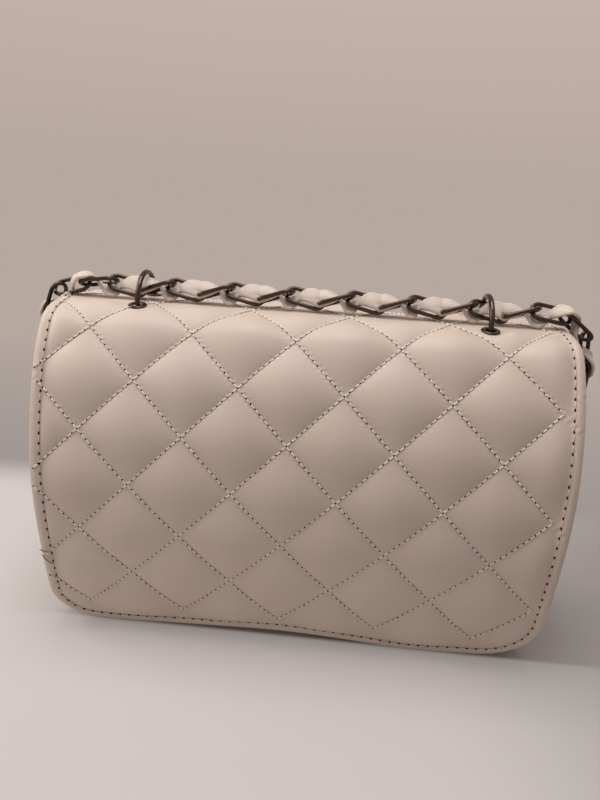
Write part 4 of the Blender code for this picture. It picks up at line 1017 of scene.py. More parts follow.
def grown(name, places, vectors, tree, sizes):
    """Runs a tree on places that carry vectors, and keeps the result as a plain mesh."""
    mesh = bpy.data.meshes.new(name)
    mesh.from_pydata(np.asarray(places).tolist(), [], [])
    for label, values in vectors.items():
        stored = mesh.attributes.new(label, "FLOAT_VECTOR", "POINT")
        stored.data.foreach_set("vector", np.asarray(values, np.float32).ravel())
    guide = in_scene(name + "_places", mesh)
    modifier = guide.modifiers.new(name, "NODES")
    modifier.node_group = tree
    for item in tree.interface.items_tree:
        if item.in_out == "INPUT" and item.name in sizes:
            modifier[item.identifier] = sizes[item.name]
    graph = bpy.context.evaluated_depsgraph_get()
    result = bpy.data.meshes.new_from_object(guide.evaluated_get(graph))
    result.name = name
    result.shade_smooth()
    bpy.data.objects.remove(guide)
    return in_scene(name, result)


def link_tree():
    """An oval link of round wire, lying across its local Z."""
    tree, given, out = new_tree("oval_links", ("Length", "Width", "Wire"))
    length, width = (
        node(tree, "ShaderNodeMath", {0: given[label], 1: given["Wire"]}, operation="SUBTRACT").outputs[0]
        for label in ("Length", "Width")
    )
    # A hair under half the width, so that the round ends keep a face between their fillets.
    bend = node(tree, "ShaderNodeMath", {0: width, 1: 0.4999}, operation="MULTIPLY").outputs[0]
    half_wire = node(tree, "ShaderNodeMath", {0: given["Wire"], 1: 0.5}, operation="MULTIPLY").outputs[0]
    box = node(tree, "GeometryNodeCurvePrimitiveQuadrilateral", {"Width": length, "Height": width})
    rounded = {"Curve": box.outputs[0], "Radius": bend, "Count": 7}
    oval = node(tree, "GeometryNodeFilletCurve", rounded, mode="POLY")
    section = node(tree, "GeometryNodeCurvePrimitiveCircle", {"Resolution": 12, "Radius": half_wire})
    swept = {"Curve": oval.outputs[0], "Profile Curve": section.outputs[0]}
    wire = node(tree, "GeometryNodeCurveToMesh", swept)
    place_copies(tree, given, out, wire.outputs[0], METAL)
    return tree


def make_links():
    places, alongs, acrosses = (np.array(part) for part in zip(*LINKS))
    sizes = {"Length": LINK_LENGTH, "Width": LINK_WIDTH, "Wire": LINK_WIRE}
    vectors = {"along": alongs, "outward": np.cross(alongs, acrosses)}
    chain = grown("chain_links", places, vectors, link_tree(), sizes)
    stand_ins = [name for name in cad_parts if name.startswith(("link_", "chain_"))]
    finished(chain, "bag", "dark_nickel", *stand_ins)


# Woven lace


def wire_centres():
    """Places along the middle of every link's and both rings' wire, with the wire's radius."""
    turn = np.linspace(-math.pi / 2, math.pi / 2, 23)
    end = np.stack([LINK_END + LINK_BEND * np.cos(turn), LINK_BEND * np.sin(turn)], -1)
    side = np.stack([np.linspace(LINK_END, -LINK_END, 18)[1:-1], np.full(16, LINK_BEND)], -1)
    oval = np.concatenate([end, side, -end, -side])
    rows = [centre + oval[:, :1] * along + oval[:, 1:] * across for centre, along, across in LINKS]
    radii = [LINK_WIRE / 2] * (len(oval) * len(LINKS))
    turn = np.linspace(0, 2 * math.pi, 160, endpoint=False)
    for x in (-EYELET_X, EYELET_X):
        y, z = RING_Y + RING_RADIUS * np.cos(turn), RING_Z + RING_RADIUS * np.sin(turn)
        rows.append(np.stack([x + 0 * turn, y, z], -1))
        radii += [RING_WIRE / 2] * len(turn)
    return np.concatenate(rows), radii


def lace_turns():
    """At each joint: how far the lace stands off it, the ways across and out of its face, its half width.

    Over the bag it rides over the low joints and hangs under the high ones, its face tilted to the front."""
    turns = []
    over = np.array((0, -math.sin(LACE_OVER_LEAN), math.cos(LACE_OVER_LEAN)))
    under = np.array((0, math.sin(LACE_UNDER_LEAN), -math.cos(LACE_UNDER_LEAN)))
    for index in range(len(JOINTS)):
        before, here = LINKS[index - 1], LINKS[index]
        sign = joint_side(index)
        looks = unit(before[2] + here[2])
        offset, half = looks * LACE_SWING * sign, LACE_HALF_WIDTH
        if index <= TOP_LINKS:
            looks = np.array((0, -math.sin(LACE_FACE), math.cos(LACE_FACE)))
            offset, half = over * LACE_OVER, LACE_HALF_OVER
            if sign < 0:
                offset, half = under * LACE_UNDER, LACE_HALF_UNDER
        turns.append((offset, unit(np.cross(before[1] + here[1], looks)), looks * sign, half))
    return turns


def lace_surface():
    """The lace's middle surface: outside one joint, through the next link, behind the next joint."""
    turns = lace_turns()
    span = np.linspace(-1, 1, LACE_COLUMNS)[:, None]
    rows = []
    for index in range(len(JOINTS)):
        after = (index + 1) % len(JOINTS)
        a, b = np.array(JOINTS[index][0]), np.array(JOINTS[after][0])
        # Over the bag, the part above a low joint is the longer one.
        middle = 0.5
        if index < TOP_LINKS:
            middle = LACE_HUMP_SHARE if joint_side(index) > 0 else 1 - LACE_HUMP_SHARE
        for step in range(LACE_ROWS):
            share = step / LACE_ROWS
            near = 0 if share < middle else 1
            turn = share / middle if near == 0 else (1 - share) / (1 - middle)
            strength = math.cos(math.pi / 2 * turn) ** LACE_HUMP_POWER
            offset, _, looks, widest = turns[(index, after)[near]]
            across = turns[index][1] * (1 - share) + turns[after][1] * share
            level = LINKS[index][2] * math.copysign(1, float(np.dot(across, LINKS[index][2])))
            flat = unit(across * strength + level * (1 - strength))
            half = LACE_HALF_GATHERED + (widest - LACE_HALF_GATHERED) * strength
            centre = a * (1 - share) + b * share + offset * strength
            rows.append(centre + flat * span * half - looks * (LACE_CUP * strength * span**2))
    return np.array(rows)


def settled(surface):
    """Moves the lace's surface off the wires, the leather and the floor, and evens out what moved."""
    places, radii = wire_centres()
    wires = kdtree.KDTree(len(places))
    for index, place in enumerate(places):
        wires.insert(place, index)
    wires.balance()
    crest, off_crest = on_leather(0.0, np.linspace(FOLD_ALONG, BACK_START + CREST_ON_BACK, 90), 0.0)
    moved = np.zeros_like(surface)
    for _ in range(16):
        for _ in range(2):
            even = (np.roll(moved, 1, 0) + np.roll(moved, -1, 0)) / 2
            moved = moved * 0.5 + even * 0.5
        moved[:, 1:-1] = moved[:, 1:-1] * 0.6 + (moved[:, 2:] + moved[:, :-2]) * 0.2
        points = (surface + moved).reshape(-1, 3)
        pushed = np.zeros_like(points)
        for index, point in enumerate(points):
            place, which, away = wires.find(point)
            short = radii[which] + LACE_HALF_THICK + LACE_OFF_WIRE - away
            if short > 0 and away > 0:
                pushed[index] = (point - np.array(place)) / away * short
        pushed[:, 2] += np.maximum(LACE_HALF_THICK + LACE_OFF_FLOOR - points[:, 2], 0)
        over = (np.abs(points[:, 0]) < HALF_WIDTH) & (points[:, 2] > CREST_LOWEST)
        for index in np.nonzero(over)[0]:
            gaps = crest[:, 1:] - points[index, 1:]
            near = int(np.argmin((gaps**2).sum(1)))
            lift = float(np.dot(points[index, 1:] - crest[near, 1:], off_crest[near, 1:]))
            if lift < LACE_HALF_THICK:
                pushed[index] += off_crest[near] * (LACE_HALF_THICK - lift)
        moved += pushed.reshape(moved.shape)
    return surface + moved


def make_lace():
    """The lace's skin round its middle surface, with a map of (length along, place across)."""
    surface = settled(lace_surface())
    forward = np.roll(surface, -1, 0) - np.roll(surface, 1, 0)
    across = np.linspace(-1, 1, LACE_COLUMNS)
    thick = LACE_HALF_THICK * np.sqrt(1 - (across * LACE_THIN_SHARE) ** 4)
    out = unit(np.cross(forward, np.gradient(surface, axis=1))) * thick[None, :, None]
    loops = np.concatenate([surface + out, (surface - out)[:, ::-1]], 1)
    count_rows, count = loops.shape[:2]
    lengths = np.linalg.norm(np.roll(surface, -1, 0) - surface, axis=2)[:, LACE_COLUMNS // 2]
    reach = np.concatenate([[0], np.cumsum(lengths)])
    widths = np.concatenate([across, across[::-1]]) * LACE_HALF_WIDTH
    numbers = np.arange(count_rows * count).reshape(count_rows, count)
    faces, tags = [], []
    for row in range(count_rows):
        faces += band(numbers[row], numbers[(row + 1) % count_rows])
        first, last = reach[row], reach[row + 1]
        for here, after in zip(widths, np.roll(widths, -1)):
            tags += [(first, here), (first, after), (last, after), (last, here)]
    lace = mesh_object("woven_lace", loops.reshape(-1, 3), faces, LACE_LEATHER)
    layer = lace.data.uv_layers.new(name="strip")
    layer.data.foreach_set("uv", np.array(tags, np.float32).ravel())
    outwards(lace)
    finished(lace, "bag", "smooth_leather", "strap_lace")


# Turned metal pieces and rings


def make_eyelets():
    """Four rolled eyelets through the top strip and its facing, each with a washer on its inner side."""
    bore, barrel_top, flare = 2.5 * MM, 0.28 * MM, 0.1 * MM
    flange_half, flange_rise, lip_half, lip_rise = 1.0 * MM, 0.55 * MM, 0.6 * MM, 0.5 * MM
    washer_bore, washer_edge, washer_round, washer_wall = 2.8 * MM, 4.2 * MM, 0.2 * MM, 0.6 * MM
    washer_top = -FACING_DEPTH - SEAT_GAP
    washer_low = washer_top - washer_wall
    lip_top = washer_low - SEAT_GAP
    rolled = bow(bore + flange_half / 2, SEAT_GAP, flange_half, flange_rise, 180, 0, 13)
    rolled += [(bore, barrel_top), (bore, lip_top)]
    rolled += bow(bore + flare, lip_top, lip_half, lip_rise, 0, -180, 9)
    middle = (washer_top + washer_low) / 2
    disc = bow(washer_edge - washer_round, middle, washer_round, washer_wall / 2, 90, -90, 7)
    disc += [(washer_bore, washer_low), (washer_bore, washer_top)]
    for side_name, side in (("left", -1), ("right", 1)):
        for row_name, along in (("front", EYELET_ALONG), ("rear", REAR_EYELET_ALONG)):
            place = f"{row_name}_{side_name}"
            at = seat(along, 0.0, side * EYELET_X)
            eyelet = turned(f"rolled_eyelet_{place}", rolled, at, METAL)
            finished(eyelet, "bag", "dark_nickel", f"eyelet_{place}")
            washer = turned(f"eyelet_washer_{place}", disc, at, METAL)
            finished(washer, "bag", "dark_nickel", f"washer_{place}")


def make_rings():
    section = bow(RING_RADIUS, 0, RING_WIRE / 2, RING_WIRE / 2, 0, 360 * 17 / 18, 18)
    for name, side in (("ring_left", -1), ("ring_right", 1)):
        at = Matrix.Translation((side * EYELET_X, RING_Y, RING_Z)) @ Matrix.Rotation(math.pi / 2, 4, "Y")
        ring = turned(f"wire_{name}", section, at, METAL, steps=96)
        finished(ring, name, "dark_nickel", name)


# Magnetic snap


def make_snap():
    """A stud under the flap and a socket on the front wall, each a turned disc with a rolled rim."""
    at = seat(SNAP_ALONG, FLAP_DEPTH, 0.0)
    post_radius, post_top, post_end = 1.5 * MM, 2.0 * MM, 0.7 * MM
    disc_wall, disc_edge, rim = 1.0 * MM, 8.0 * MM, 0.4 * MM
    boss_rise, boss_radius, boss_round, boss_play = 1.2 * MM, 2.6 * MM, 0.4 * MM, 0.3 * MM
    stud_top, stud_low = -SEAT_GAP, -SEAT_GAP - disc_wall
    boss_low = stud_low - boss_rise
    stud = [(0, post_top), (post_radius, post_top), (post_radius, stud_top)]
    stud += bow(disc_edge - rim, stud_top - disc_wall / 2, rim, disc_wall / 2, 90, -90, 9)
    stud += [(boss_radius, stud_low)]
    stud += bow(boss_radius - boss_round, boss_low + boss_round, boss_round, boss_round, 0, -90, 6)
    stud += [(0, boss_low)]
    finished(turned("snap_stud_disc", stud, at, METAL), "flap", "dark_nickel", "snap_stud")
    socket_edge, socket_rim = 8.5 * MM, 0.6 * MM
    face = stud_low - SEAT_GAP
    leather = -POUCH_FALL + SEAT_GAP
    bore, bore_floor = boss_radius + boss_play, boss_low - boss_play
    post = leather - SEAT_GAP - FRONT_WALL - SEAT_GAP - post_end
    socket = [(0, bore_floor), (bore, bore_floor)]
    socket += bow(bore + boss_play, face - boss_play, boss_play, boss_play, 180, 90, 5)
    middle, half_wall = (face + leather) / 2, (face - leather) / 2
    socket += bow(socket_edge - socket_rim, middle, socket_rim, half_wall, 90, -90, 9)
    socket += [(post_radius, leather), (post_radius, post), (0, post)]
    finished(turned("snap_socket_disc", socket, at, METAL), "bag", "dark_nickel", "snap_socket")


# Flap underside, top facing, front wall, side wall and lining


def corner_steps(radius, count=12):
    return radius * (1 - np.cos(np.linspace(0, math.pi / 2, count)))


def half_at(height, floor, half, radius):
    """Half the width of a wall at a height, its lower corners round."""
    return half - corner(height - floor, radius)


def rows_up(floor, radius, top, count_corner, count_wall):
    """Heights from the floor to the top, closer together in the round corners."""
    straight = np.linspace(floor + radius, top, count_wall)[1:]
    return np.concatenate([floor + corner_steps(radius, count_corner), straight])


def grid_normals(points):
    return unit(np.cross(np.gradient(points, axis=1), np.gradient(points, axis=0)))


def make_flap_underside():
    """Smooth leather on the flap's inner side, its edge turned in a little from the outer leather's."""
    radius, half = CORNER_RIGHT - UNDERSIDE_INSET, HALF_WIDTH - UNDERSIDE_INSET
    rows = rows_up(UNDERSIDE_INSET, radius, FOLD_ALONG - UNDERSIDE_SHORT, 20, 56)
    columns, along = np.meshgrid(np.linspace(half, -half, 90), rows)
    beside = np.maximum(along - UNDERSIDE_INSET, 0)
    left = left_edge(beside) - RIM_RADIUS + UNDERSIDE_INSET
    right = right_edge(beside) + RIM_RADIUS - UNDERSIDE_INSET
    x = draw_in(columns, half, half - radius - DRAW_MARGIN, left, right)
    points, normals = on_leather(x, along, -FLAP_DEPTH)
    under = closed_sheet("flap_underside", points, -normals, UNDERSIDE_WALL, SMOOTH, stride=3, rim_steps=4)
    finished(under, "flap", "smooth_leather", "flap_lining")


def make_top_facing():
    """Smooth leather under the top strip, held by the eyelets, from the fold down the back to the lining."""
    reach = np.linspace(BACK_START, FULL_LENGTH, 400)
    end = float(np.interp(-LINING_TOP - FACING_OVER_LINING, -side_point(reach)[1], reach))
    rows = np.linspace(FOLD_ALONG + FACING_START, end, 34)
    half = HALF_WIDTH - FACING_INSET
    x, along = np.meshgrid(np.linspace(half, -half, 60), rows)
    points, normals = on_leather(x, along, -FACING_DEPTH)
    facing = closed_sheet("mouth_facing", points, -normals, FACING_WALL, SMOOTH, stride=3, rim_steps=4)
    punch_eyelets(facing)
    finished(facing, "bag", "smooth_leather", "top_facing")


def make_front_wall():
    half = HALF_WIDTH - FRONT_INSET
    rows = rows_up(FRONT_FLOOR, POUCH_CORNER, MOUTH_HEIGHT, 16, 44)
    columns, height = np.meshgrid(np.linspace(-half, half, 90), rows)
    end = half_at(height, FRONT_FLOOR, half, POUCH_CORNER)
    x = draw_in(columns, half, half - POUCH_CORNER - DRAW_MARGIN, -end, end)
    points = np.stack([x, wall_y(True, height, POUCH_DEPTH), height], -1)
    wall = closed_sheet("front_wall", points, grid_normals(points), FRONT_WALL, SMOOTH, stride=3)
    finished(wall, "bag", "smooth_leather", "front_panel")


def fold_in(height, share):
    """The side wall folds inwards: not at all at the base and seams, most at the mouth, halfway across."""
    rise = np.clip((height - GUSSET_FOLD_START) / (MOUTH_HEIGHT - GUSSET_FOLD_START), 0, 1)
    across = np.clip((share - GUSSET_SEAM_SHARE) / (1 - 2 * GUSSET_SEAM_SHARE), 0, 1)
    return GUSSET_FOLD * rise * np.sin(math.pi * across) ** 2


def make_side_wall():
    """One strip down the left side, along the base and up the right side."""
    rise = rows_up(0.0, POUCH_CORNER, MOUTH_HEIGHT - GUSSET_BELOW_MOUTH, 14, 40)
    side = half_at(rise, 0, GUSSET_HALF_WIDTH, POUCH_CORNER)
    base = np.linspace(-side[0], side[0], 40)
    x = np.concatenate([-side[:0:-1], base, side[1:]])[:, None]
    height = np.concatenate([rise[:0:-1], 0 * base, rise[1:]])[:, None]
    share = np.linspace(0, 1, 29)
    front, back = wall_y(True, height, GUSSET_FRONT_DEPTH), wall_y(False, height, GUSSET_BACK_DEPTH)
    folded = x - np.copysign(1, x) * fold_in(height, share)
    points = np.stack([folded, front + (back - front) * share, height + 0 * share], -1)
    wall = closed_sheet("side_wall", points, grid_normals(points), GUSSET_WALL, SMOOTH, stride=2)
    finished(wall, "bag", "smooth_leather", "gusset")


def lining_loop(height, inset):
    """The lining's outline at a height: front, right fold, back, left fold."""
    end = float(half_at(height, LINING_FLOOR + inset, LINING_HALF_WIDTH - inset, LINING_CORNER))
    front = float(wall_y(True, height, LINING_FRONT_DEPTH)) + inset
    back = float(wall_y(False, height, LINING_BACK_DEPTH)) - inset
    x = np.linspace(-end, end, 41)
    share = np.linspace(0, 1, 19)[1:-1]
    side_x = end - fold_in(height, share)
    side_y = front + (back - front) * share
    return np.concatenate([
        np.stack([x, front + 0 * x], -1),
        np.stack([side_x, side_y], -1),
        np.stack([x[::-1], back + 0 * x], -1),
        np.stack([-side_x[::-1], side_y[::-1]], -1),
    ])


def make_lining():
    """An open pouch of cloth: an outer and an inner shell, each with a flat bottom, joined at the mouth."""
    points, faces, rings = [], [], []
    for inset in (0.0, LINING_WALL):
        shell = []
        for height in rows_up(LINING_FLOOR + inset, LINING_CORNER, LINING_TOP, 12, 40):
            loop = lining_loop(height, inset)
            shell.append(np.arange(len(points), len(points) + len(loop)))
            points += [(x, y, height) for x, y in loop]
        for lower, upper in zip(shell, shell[1:]):
            faces += band(lower, upper)
        # The bottom: strips from front to back, and a face inside each fold.
        front, right, back, left = np.split(shell[0], (41, 58, 99))
        far = back[::-1]
        faces += list(zip(front[:-1], front[1:], far[1:], far[:-1]))
        faces += [(front[-1], *right, back[0]), (back[-1], *left, front[0])]
        rings.append(shell[-1])
    faces += band(*rings)
    pouch = mesh_object("pouch_lining", points, faces, CLOTH)
    outwards(pouch)
    pouch.data.set_sharp_from_angle(angle=math.radians(40))
    finished(pouch, "bag", "lining_cloth", "lining")


# Stitching


def stitch_tree(name, finish):
    """A stitch: a short thread that dips into the leather at both ends."""
    tree, given, out = new_tree(name, tuple(QUILT_STITCH))
    half, back, sink, peak = (
        node(tree, "ShaderNodeMath", {0: given[label], 1: share}, operation="MULTIPLY").outputs[0]
        for label, share in (("Length", 0.5), ("Length", -0.5), ("Thread", -0.6), ("Rise", 2.0))
    )
    start, end = (
        node(tree, "ShaderNodeCombineXYZ", {"X": reach, "Z": sink}).outputs[0] for reach in (back, half)
    )
    top = node(tree, "ShaderNodeCombineXYZ", {"Z": peak}).outputs[0]
    arch = node(
        tree, "GeometryNodeCurveQuadraticBezier",
        {"Resolution": 5, "Start": start, "Middle": top, "End": end},
    )
    section = node(tree, "GeometryNodeCurvePrimitiveCircle", {"Resolution": 6, "Radius": given["Thread"]})
    swept = {"Curve": arch.outputs[0], "Profile Curve": section.outputs[0], "Fill Caps": True}
    thread = node(tree, "GeometryNodeCurveToMesh", swept)
    place_copies(tree, given, out, thread.outputs[0], finish)
    return tree


def hole_tree():
    """A needle hole's painted shade, as a small dark bead sunk in the leather."""
    tree, given, out = new_tree("needle_holes", ("Radius",))
    bead = node(tree, "GeometryNodeMeshIcoSphere", {"Radius": given["Radius"], "Subdivisions": 1})
    flat = node(tree, "GeometryNodeTransform", {"Geometry": bead.outputs[0], "Scale": (1.5, 0.9, 0.8)})
    place_copies(tree, given, out, flat.outputs[0], HOLE)
    return tree


QUILT_STITCHES = stitch_tree("quilt_stitches", THREAD)
EDGE_STITCHES = stitch_tree("edge_thread_stitches", EDGE_THREAD)
HOLES = hole_tree()


def on_cover(places, steps):
    """Points of the made leather at (x, along) places, with the directions of a small step and outwards."""
    tree = BVHTree.FromObject(cover, bpy.context.evaluated_depsgraph_get())
    found = []
    for shift in (0, -0.5, 0.5):
        x, along = (places + steps * shift).T
        points, normals = on_leather(x, along, PROBE_HEIGHT)
        hits = []
        for point, normal in zip(points, normals):
            hit = tree.ray_cast(Vector(point), Vector(-normal), 2 * PROBE_HEIGHT)[0]
            hits.append(point - normal * PROBE_HEIGHT if hit is None else hit)
        found.append(np.array(hits))
    _, normals = on_leather(places[:, 0], places[:, 1], 0.0)
    return found[0], unit(found[2] - found[1]), normals


def sew(name, stitches, places, steps, stitch, needle):
    """A thread at each place, and a needle hole half a step behind it."""
    points, ahead, normals = on_cover(places, steps)
    vectors = {"along": ahead, "outward": normals}
    threads = grown(name, points + normals * THREAD_LIFT, vectors, stitches, stitch)
    points, ahead, normals = on_cover(places - steps / 2, steps)
    vectors = {"along": ahead, "outward": normals}
    holes = grown(name + "_holes", points + normals * HOLE_LIFT, vectors, HOLES, needle)
    for piece in (threads, holes):
        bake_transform(piece)


def quilt_seams():
    """Places of the quilting stitches and their steps, as (x, along), from the last crossings up."""
    first_down = math.floor((QUILT_ALONG - FULL_LENGTH) / QUILT_DOWN) - 1
    numbers = np.arange(QUILT_FIRST_ACROSS * STITCHES_PER_CELL, QUILT_LAST_ACROSS * STITCHES_PER_CELL)
    across = numbers / STITCHES_PER_CELL + 0.5 / STITCHES_PER_CELL
    places, steps = [], []
    # More seams than reach the leather: those outside it are left out below.
    for total in range(-20, 20, 2):
        for slant in (1, -1):
            down = slant * (total - across)
            kept = (down < QUILT_LAST_DOWN) & (down > first_down)
            x, along = QUILT_X + across[kept] * QUILT_ACROSS, QUILT_ALONG - down[kept] * QUILT_DOWN
            places.append(np.stack([x, along], -1))
            step = QUILT_ACROSS / STITCHES_PER_CELL, slant * QUILT_DOWN / STITCHES_PER_CELL
            steps.append(np.tile(step, (kept.sum(), 1)))
    places, steps = np.concatenate(places), np.concatenate(steps)
    x, along = places.T
    inside = (x > left_edge(along - RIM_RADIUS)) & (x < right_edge(along - RIM_RADIUS))
    inside &= (along > SEAM_MARGIN) & (along < FULL_LENGTH - SEAM_MARGIN)
    # The seams stop at the edge seam, but run on across it at the left side.
    away = edge_distance(places)
    clear = (away > SEAM_INSET + SEAM_CLEARANCE) | ((x < LEFT_SEAM_X) & (away > LEFT_SEAM_CLEARANCE))
    kept = inside & clear
    return places[kept], steps[kept]


def make_stitching():
    sew("quilting_stitches", QUILT_STITCHES, *quilt_seams(), QUILT_STITCH, QUILT_NEEDLE)
    ahead = (np.roll(EDGE_SEAM, -1, 0) - np.roll(EDGE_SEAM, 1, 0)) / 2
    sew("edge_stitches", EDGE_STITCHES, EDGE_SEAM, ahead, EDGE_STITCH, EDGE_NEEDLE)


def sew_inside(name, body, points, ahead, outward):
    """A seam's thread where it shows on an inner leather."""
    ahead = unit(ahead)
    vectors = {"along": ahead, "outward": outward}
    seam = grown(name, points, vectors, QUILT_STITCHES, EDGE_STITCH)
    holes = grown(name + "_holes", points + ahead * EDGE_PITCH / 2, vectors, HOLES, EDGE_NEEDLE)
    for piece in (seam, holes):
        finished(piece, body, "smooth_leather")


def make_inside_stitching():
    """The edge seam on the flap's inner side, and a seam along the mouth of the front wall."""
    points, normals = on_leather(EDGE_SEAM[:, 0], EDGE_SEAM[:, 1], -FLAP_DEPTH)
    ahead = np.roll(points, -1, 0) - np.roll(points, 1, 0)
    kept = EDGE_SEAM[:, 1] < FOLD_ALONG - FOLD_AHEAD
    sew_inside("flap_inside_stitches", "flap", points[kept], ahead[kept], -normals[kept])
    reach = HALF_WIDTH - MOUTH_SEAM_INSET
    x = np.arange(-reach, reach, EDGE_PITCH)
    height, fall = MOUTH_HEIGHT - MOUTH_SEAM_DROP, 2.0 * MM
    y, lower = (float(wall_y(True, at, POUCH_DEPTH)) for at in (height, height - fall))
    out = unit(np.array((0, -fall, lower - y)))
    points = np.stack([x, y + 0 * x, height + 0 * x], -1)
    sew_inside("mouth_stitches", "bag", points, np.tile((1.0, 0, 0), (len(x), 1)), np.tile(out, (len(x), 1)))


def make_thread_ends():
    """Two cut thread ends that stick out past the left edge, as (x, along, lift) in millimetres."""
    strands = (
        [(-104.2, 41.6, 0.7), (-105.8, 42.2, 1.2), (-107.2, 42.6, 1.1), (-108.4, 42.3, 0.5)],
        [(-103.2, 35.4, 0.7), (-104.6, 36.6, 1.2), (-106.2, 37.8, 1.1), (-107.6, 39.4, 0.5)],
    )
    guide = bpy.data.curves.new("thread_path", "CURVE")
    guide.dimensions = "3D"
    guide.bevel_depth = LOOSE_THREAD_RADIUS
    guide.bevel_resolution = 2
    guide.use_fill_caps = True
    for strand in strands:
        reach = np.linspace(0, 3, 13)
        x, along, lift = (np.interp(reach, range(4), values) * MM for values in zip(*strand))
        path, _ = on_leather(x, along, lift)
        line = guide.splines.new("POLY")
        line.points.add(len(path) - 1)
        line.points.foreach_set("co", np.hstack([path, np.ones((len(path), 1))]).ravel())
    path_object = in_scene("thread_path", guide)
    graph = bpy.context.evaluated_depsgraph_get()
    mesh = bpy.data.meshes.new_from_object(path_object.evaluated_get(graph))
    bpy.data.objects.remove(path_object)
    mesh.name = "thread_ends"
    mesh.materials.append(THREAD_END)
    mesh.shade_smooth()
    finished(in_scene("thread_ends", mesh), "flap", "quilted_leather")


# Stage, lamps and camera


def make_stage():
    """A pale floor whose far part looks as pale as the photographed wall, and sends no more light."""
    size = 4.0
    finish, tree, shader, place = finish_named("pale_studio_paper")
    spot = node(tree, "ShaderNodeSeparateXYZ", {0: place}).outputs

    def fade(axis, first, last, low=0.0, high=1.0):
        """A smooth change from one value to another between two places on the floor."""
        ends = {"From Min": first, "From Max": last, "To Min": low, "To Max": high}
        faded = {"Value": spot[axis], **ends}
        return node(tree, "ShaderNodeMapRange", faded, interpolation_type="SMOOTHSTEP").outputs["Result"]

    # Painted shade: the floor is coloured darker to the right, where it lies in soft shadow.
    painted_shade_right = {"Factor": fade("X", 0.06, 0.2, 0.0, 0.62), "A": linear("D1CAC7"), "B": linear("8E8684")}
    shaded = node(tree, "ShaderNodeMix", painted_shade_right, data_type="RGBA").outputs["Result"]
    fill_inputs(tree, shader, {"Base Color": shaded, "Roughness": 0.75})
    # Painted shade: the far floor stands for the wall, coloured darker near its foot and paler farther away.
    away = node(tree, "ShaderNodeMapRange", {"Value": spot["Y"], "From Min": 0.0, "From Max": 0.8})
    ramp = node(tree, "ShaderNodeValToRGB", {"Fac": away.outputs["Result"]})
    for element, position, colour in zip(ramp.color_ramp.elements, (0.15, 0.55), ("9F9693", "B6A79F")):
        element.position = position
        element.color = linear(colour)
    light = node(tree, "ShaderNodeLightPath").outputs
    rays = {0: light["Is Camera Ray"], 1: light["Is Glossy Ray"]}
    seen = node(tree, "ShaderNodeMath", rays, operation="MAXIMUM").outputs[0]
    far = fade("Y", 0.075, 0.135)
    # Painted light: ahead of the bag the floor partly glows in its own colour for the camera, which lightens
    # the shadow on it.
    # A third of it ahead of the bag keeps the shadow there pale, as photographed, and dark under the hem.
    ahead = fade("Y", -0.0225, -0.0195, 0.34, 0.0)
    own = node(tree, "ShaderNodeMath", {0: ahead, 1: far}, operation="MAXIMUM").outputs[0]
    tones = {"Factor": far, "A": shaded, "B": ramp.outputs["Color"]}
    glow = node(tree, "ShaderNodeMix", tones, data_type="RGBA").outputs["Result"]
    wall = node(tree, "ShaderNodeEmission", {"Color": glow, "Strength": 1.0})
    share = node(tree, "ShaderNodeMath", {0: seen, 1: own}, operation="MULTIPLY").outputs[0]
    both = node(tree, "ShaderNodeMixShader", {0: share, 1: shader.outputs[0], 2: wall.outputs[0]})
    tree.links.new(both.outputs[0], tree.nodes["Material Output"].inputs["Surface"])
    corners = [(-size, -size, 0), (size, -size, 0), (size, size, 0), (-size, size, 0)]
    mesh_object("floor", corners, [(0, 1, 2, 3)], finish, smooth=False)


def make_room():
    """A pale room round the bag, whose walls look paler in the metal than the light they send."""
    world = bpy.data.worlds.new("soft_room")
    bpy.context.scene.world = world
    world.use_nodes = True
    tree = world.node_tree
    fill = tree.nodes["Background"]
    fill_inputs(tree, fill, {"Color": linear("EFEAE8"), "Strength": 0.24})
    # Painted light: the wall behind is coloured paler upwards, as it is lit more from above.
    height = node(tree, "ShaderNodeSeparateXYZ", {0: node(tree, "ShaderNodeTexCoord").outputs["Generated"]})
    rise = node(tree, "ShaderNodeMapRange", {"Value": height.outputs["Z"], "From Min": 0.0, "From Max": 0.3})
    tones = {"Factor": rise.outputs["Result"], "A": linear("B6A79F"), "B": linear("C7B5AB")}
    tone = node(tree, "ShaderNodeMix", tones, data_type="RGBA").outputs["Result"]
    wall = node(tree, "ShaderNodeBackground", {"Color": tone, "Strength": 1.0})
    light = node(tree, "ShaderNodeLightPath").outputs
    rays = {0: light["Is Camera Ray"], 1: light["Is Glossy Ray"]}
    seen = node(tree, "ShaderNodeMath", rays, operation="MAXIMUM").outputs[0]
    both = node(tree, "ShaderNodeMixShader", {0: seen, 1: fill.outputs[0], 2: wall.outputs[0]})
    tree.links.new(both.outputs[0], tree.nodes["World Output"].inputs["Surface"])


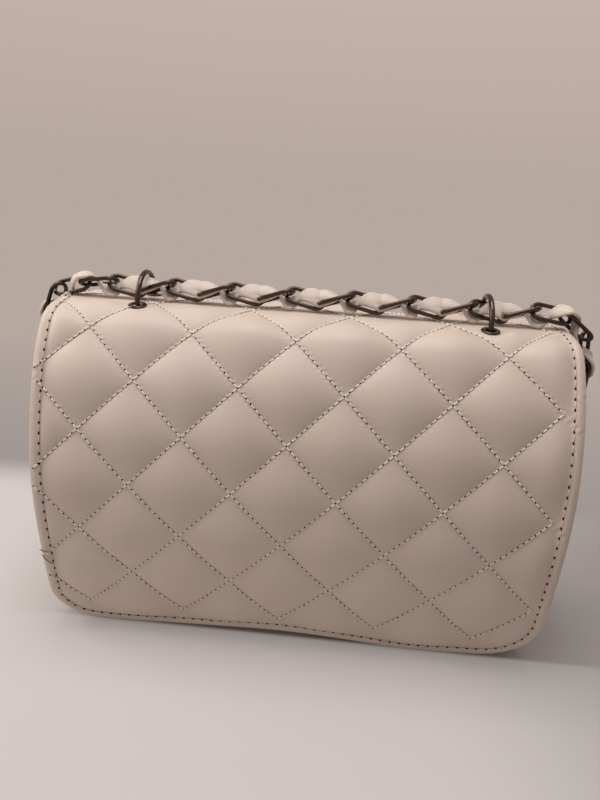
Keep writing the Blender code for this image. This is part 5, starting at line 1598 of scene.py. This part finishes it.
def make_lamps():
    """A soft ceiling light with a smaller one in it, a little window light, and one from the left side."""
    for name, place, target, power, size in (
        ("overhead", (-0.05, 0.0, 0.9), (0.0, 0.0, 0.1), 3.3, 0.45),
        ("ceiling", (-0.05, -0.08, 1.1), (0.0, 0.0, 0.1), 3.1, 1.5),
        ("window", (-0.9, -0.35, 0.55), (0.0, 0.0, 0.08), 0.8, 0.5),
        ("side", (-0.5, 0.0, 0.45), (-0.08, 0.0, 0.13), 1.2, 0.3),
    ):
        lamp = bpy.data.lights.new(name, "AREA")
        lamp.energy = power
        lamp.size = size
        lamp.color = (1.0, 0.98, 0.965)
        holder = in_scene(name, lamp)
        holder.location = place
        holder.rotation_euler = (Vector(target) - Vector(place)).to_track_quat("-Z", "Y").to_euler()


def make_camera():
    """As the photograph was taken: close in front, looking 20 degrees down, the phone tilted a little."""
    yaw, pitch, roll = (math.radians(a) for a in (3.23, 20.0, 4.65))
    place = (0.0127, -0.2510, 0.2008)
    focal_pixels, photo_height_pixels, sensor = 612.5, 800, 36
    across = Vector((math.cos(yaw), math.sin(yaw) * math.cos(pitch), -math.sin(yaw) * math.sin(pitch)))
    upward = Vector((0, math.sin(pitch), math.cos(pitch)))
    across.normalize()
    upward = (upward - across * upward.dot(across)).normalized()
    right = across * math.cos(roll) + upward * math.sin(roll)
    up = upward * math.cos(roll) - across * math.sin(roll)
    camera = bpy.data.cameras.new("camera")
    camera.lens = focal_pixels / photo_height_pixels * sensor
    camera.sensor_width = sensor
    camera.clip_start = 0.01
    holder = in_scene("camera", camera)
    turn = Matrix((right, up, right.cross(up))).transposed().to_4x4()
    holder.matrix_world = Matrix.Translation(place) @ turn
    bpy.context.scene.camera = holder


cover = make_cover()
make_links()
make_lace()
make_eyelets()
make_rings()
make_snap()
make_flap_underside()
make_top_facing()
make_front_wall()
make_side_wall()
make_lining()
make_stitching()
make_inside_stitching()
make_thread_ends()

# The boards and the snap's plates are hidden, so they keep the solids' own shapes.
for name, finish in (
    ("front_stiffener", BOARD),
    ("back_stiffener", BOARD),
    ("base_board", BOARD),
    ("snap_stud_plate", METAL),
    ("snap_socket_plate", METAL),
):
    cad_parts[name].data.materials.clear()
    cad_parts[name].data.materials.append(finish)

make_stage()
make_room()
make_lamps()
make_camera()
bpy.context.scene.view_settings.view_transform = "Standard"
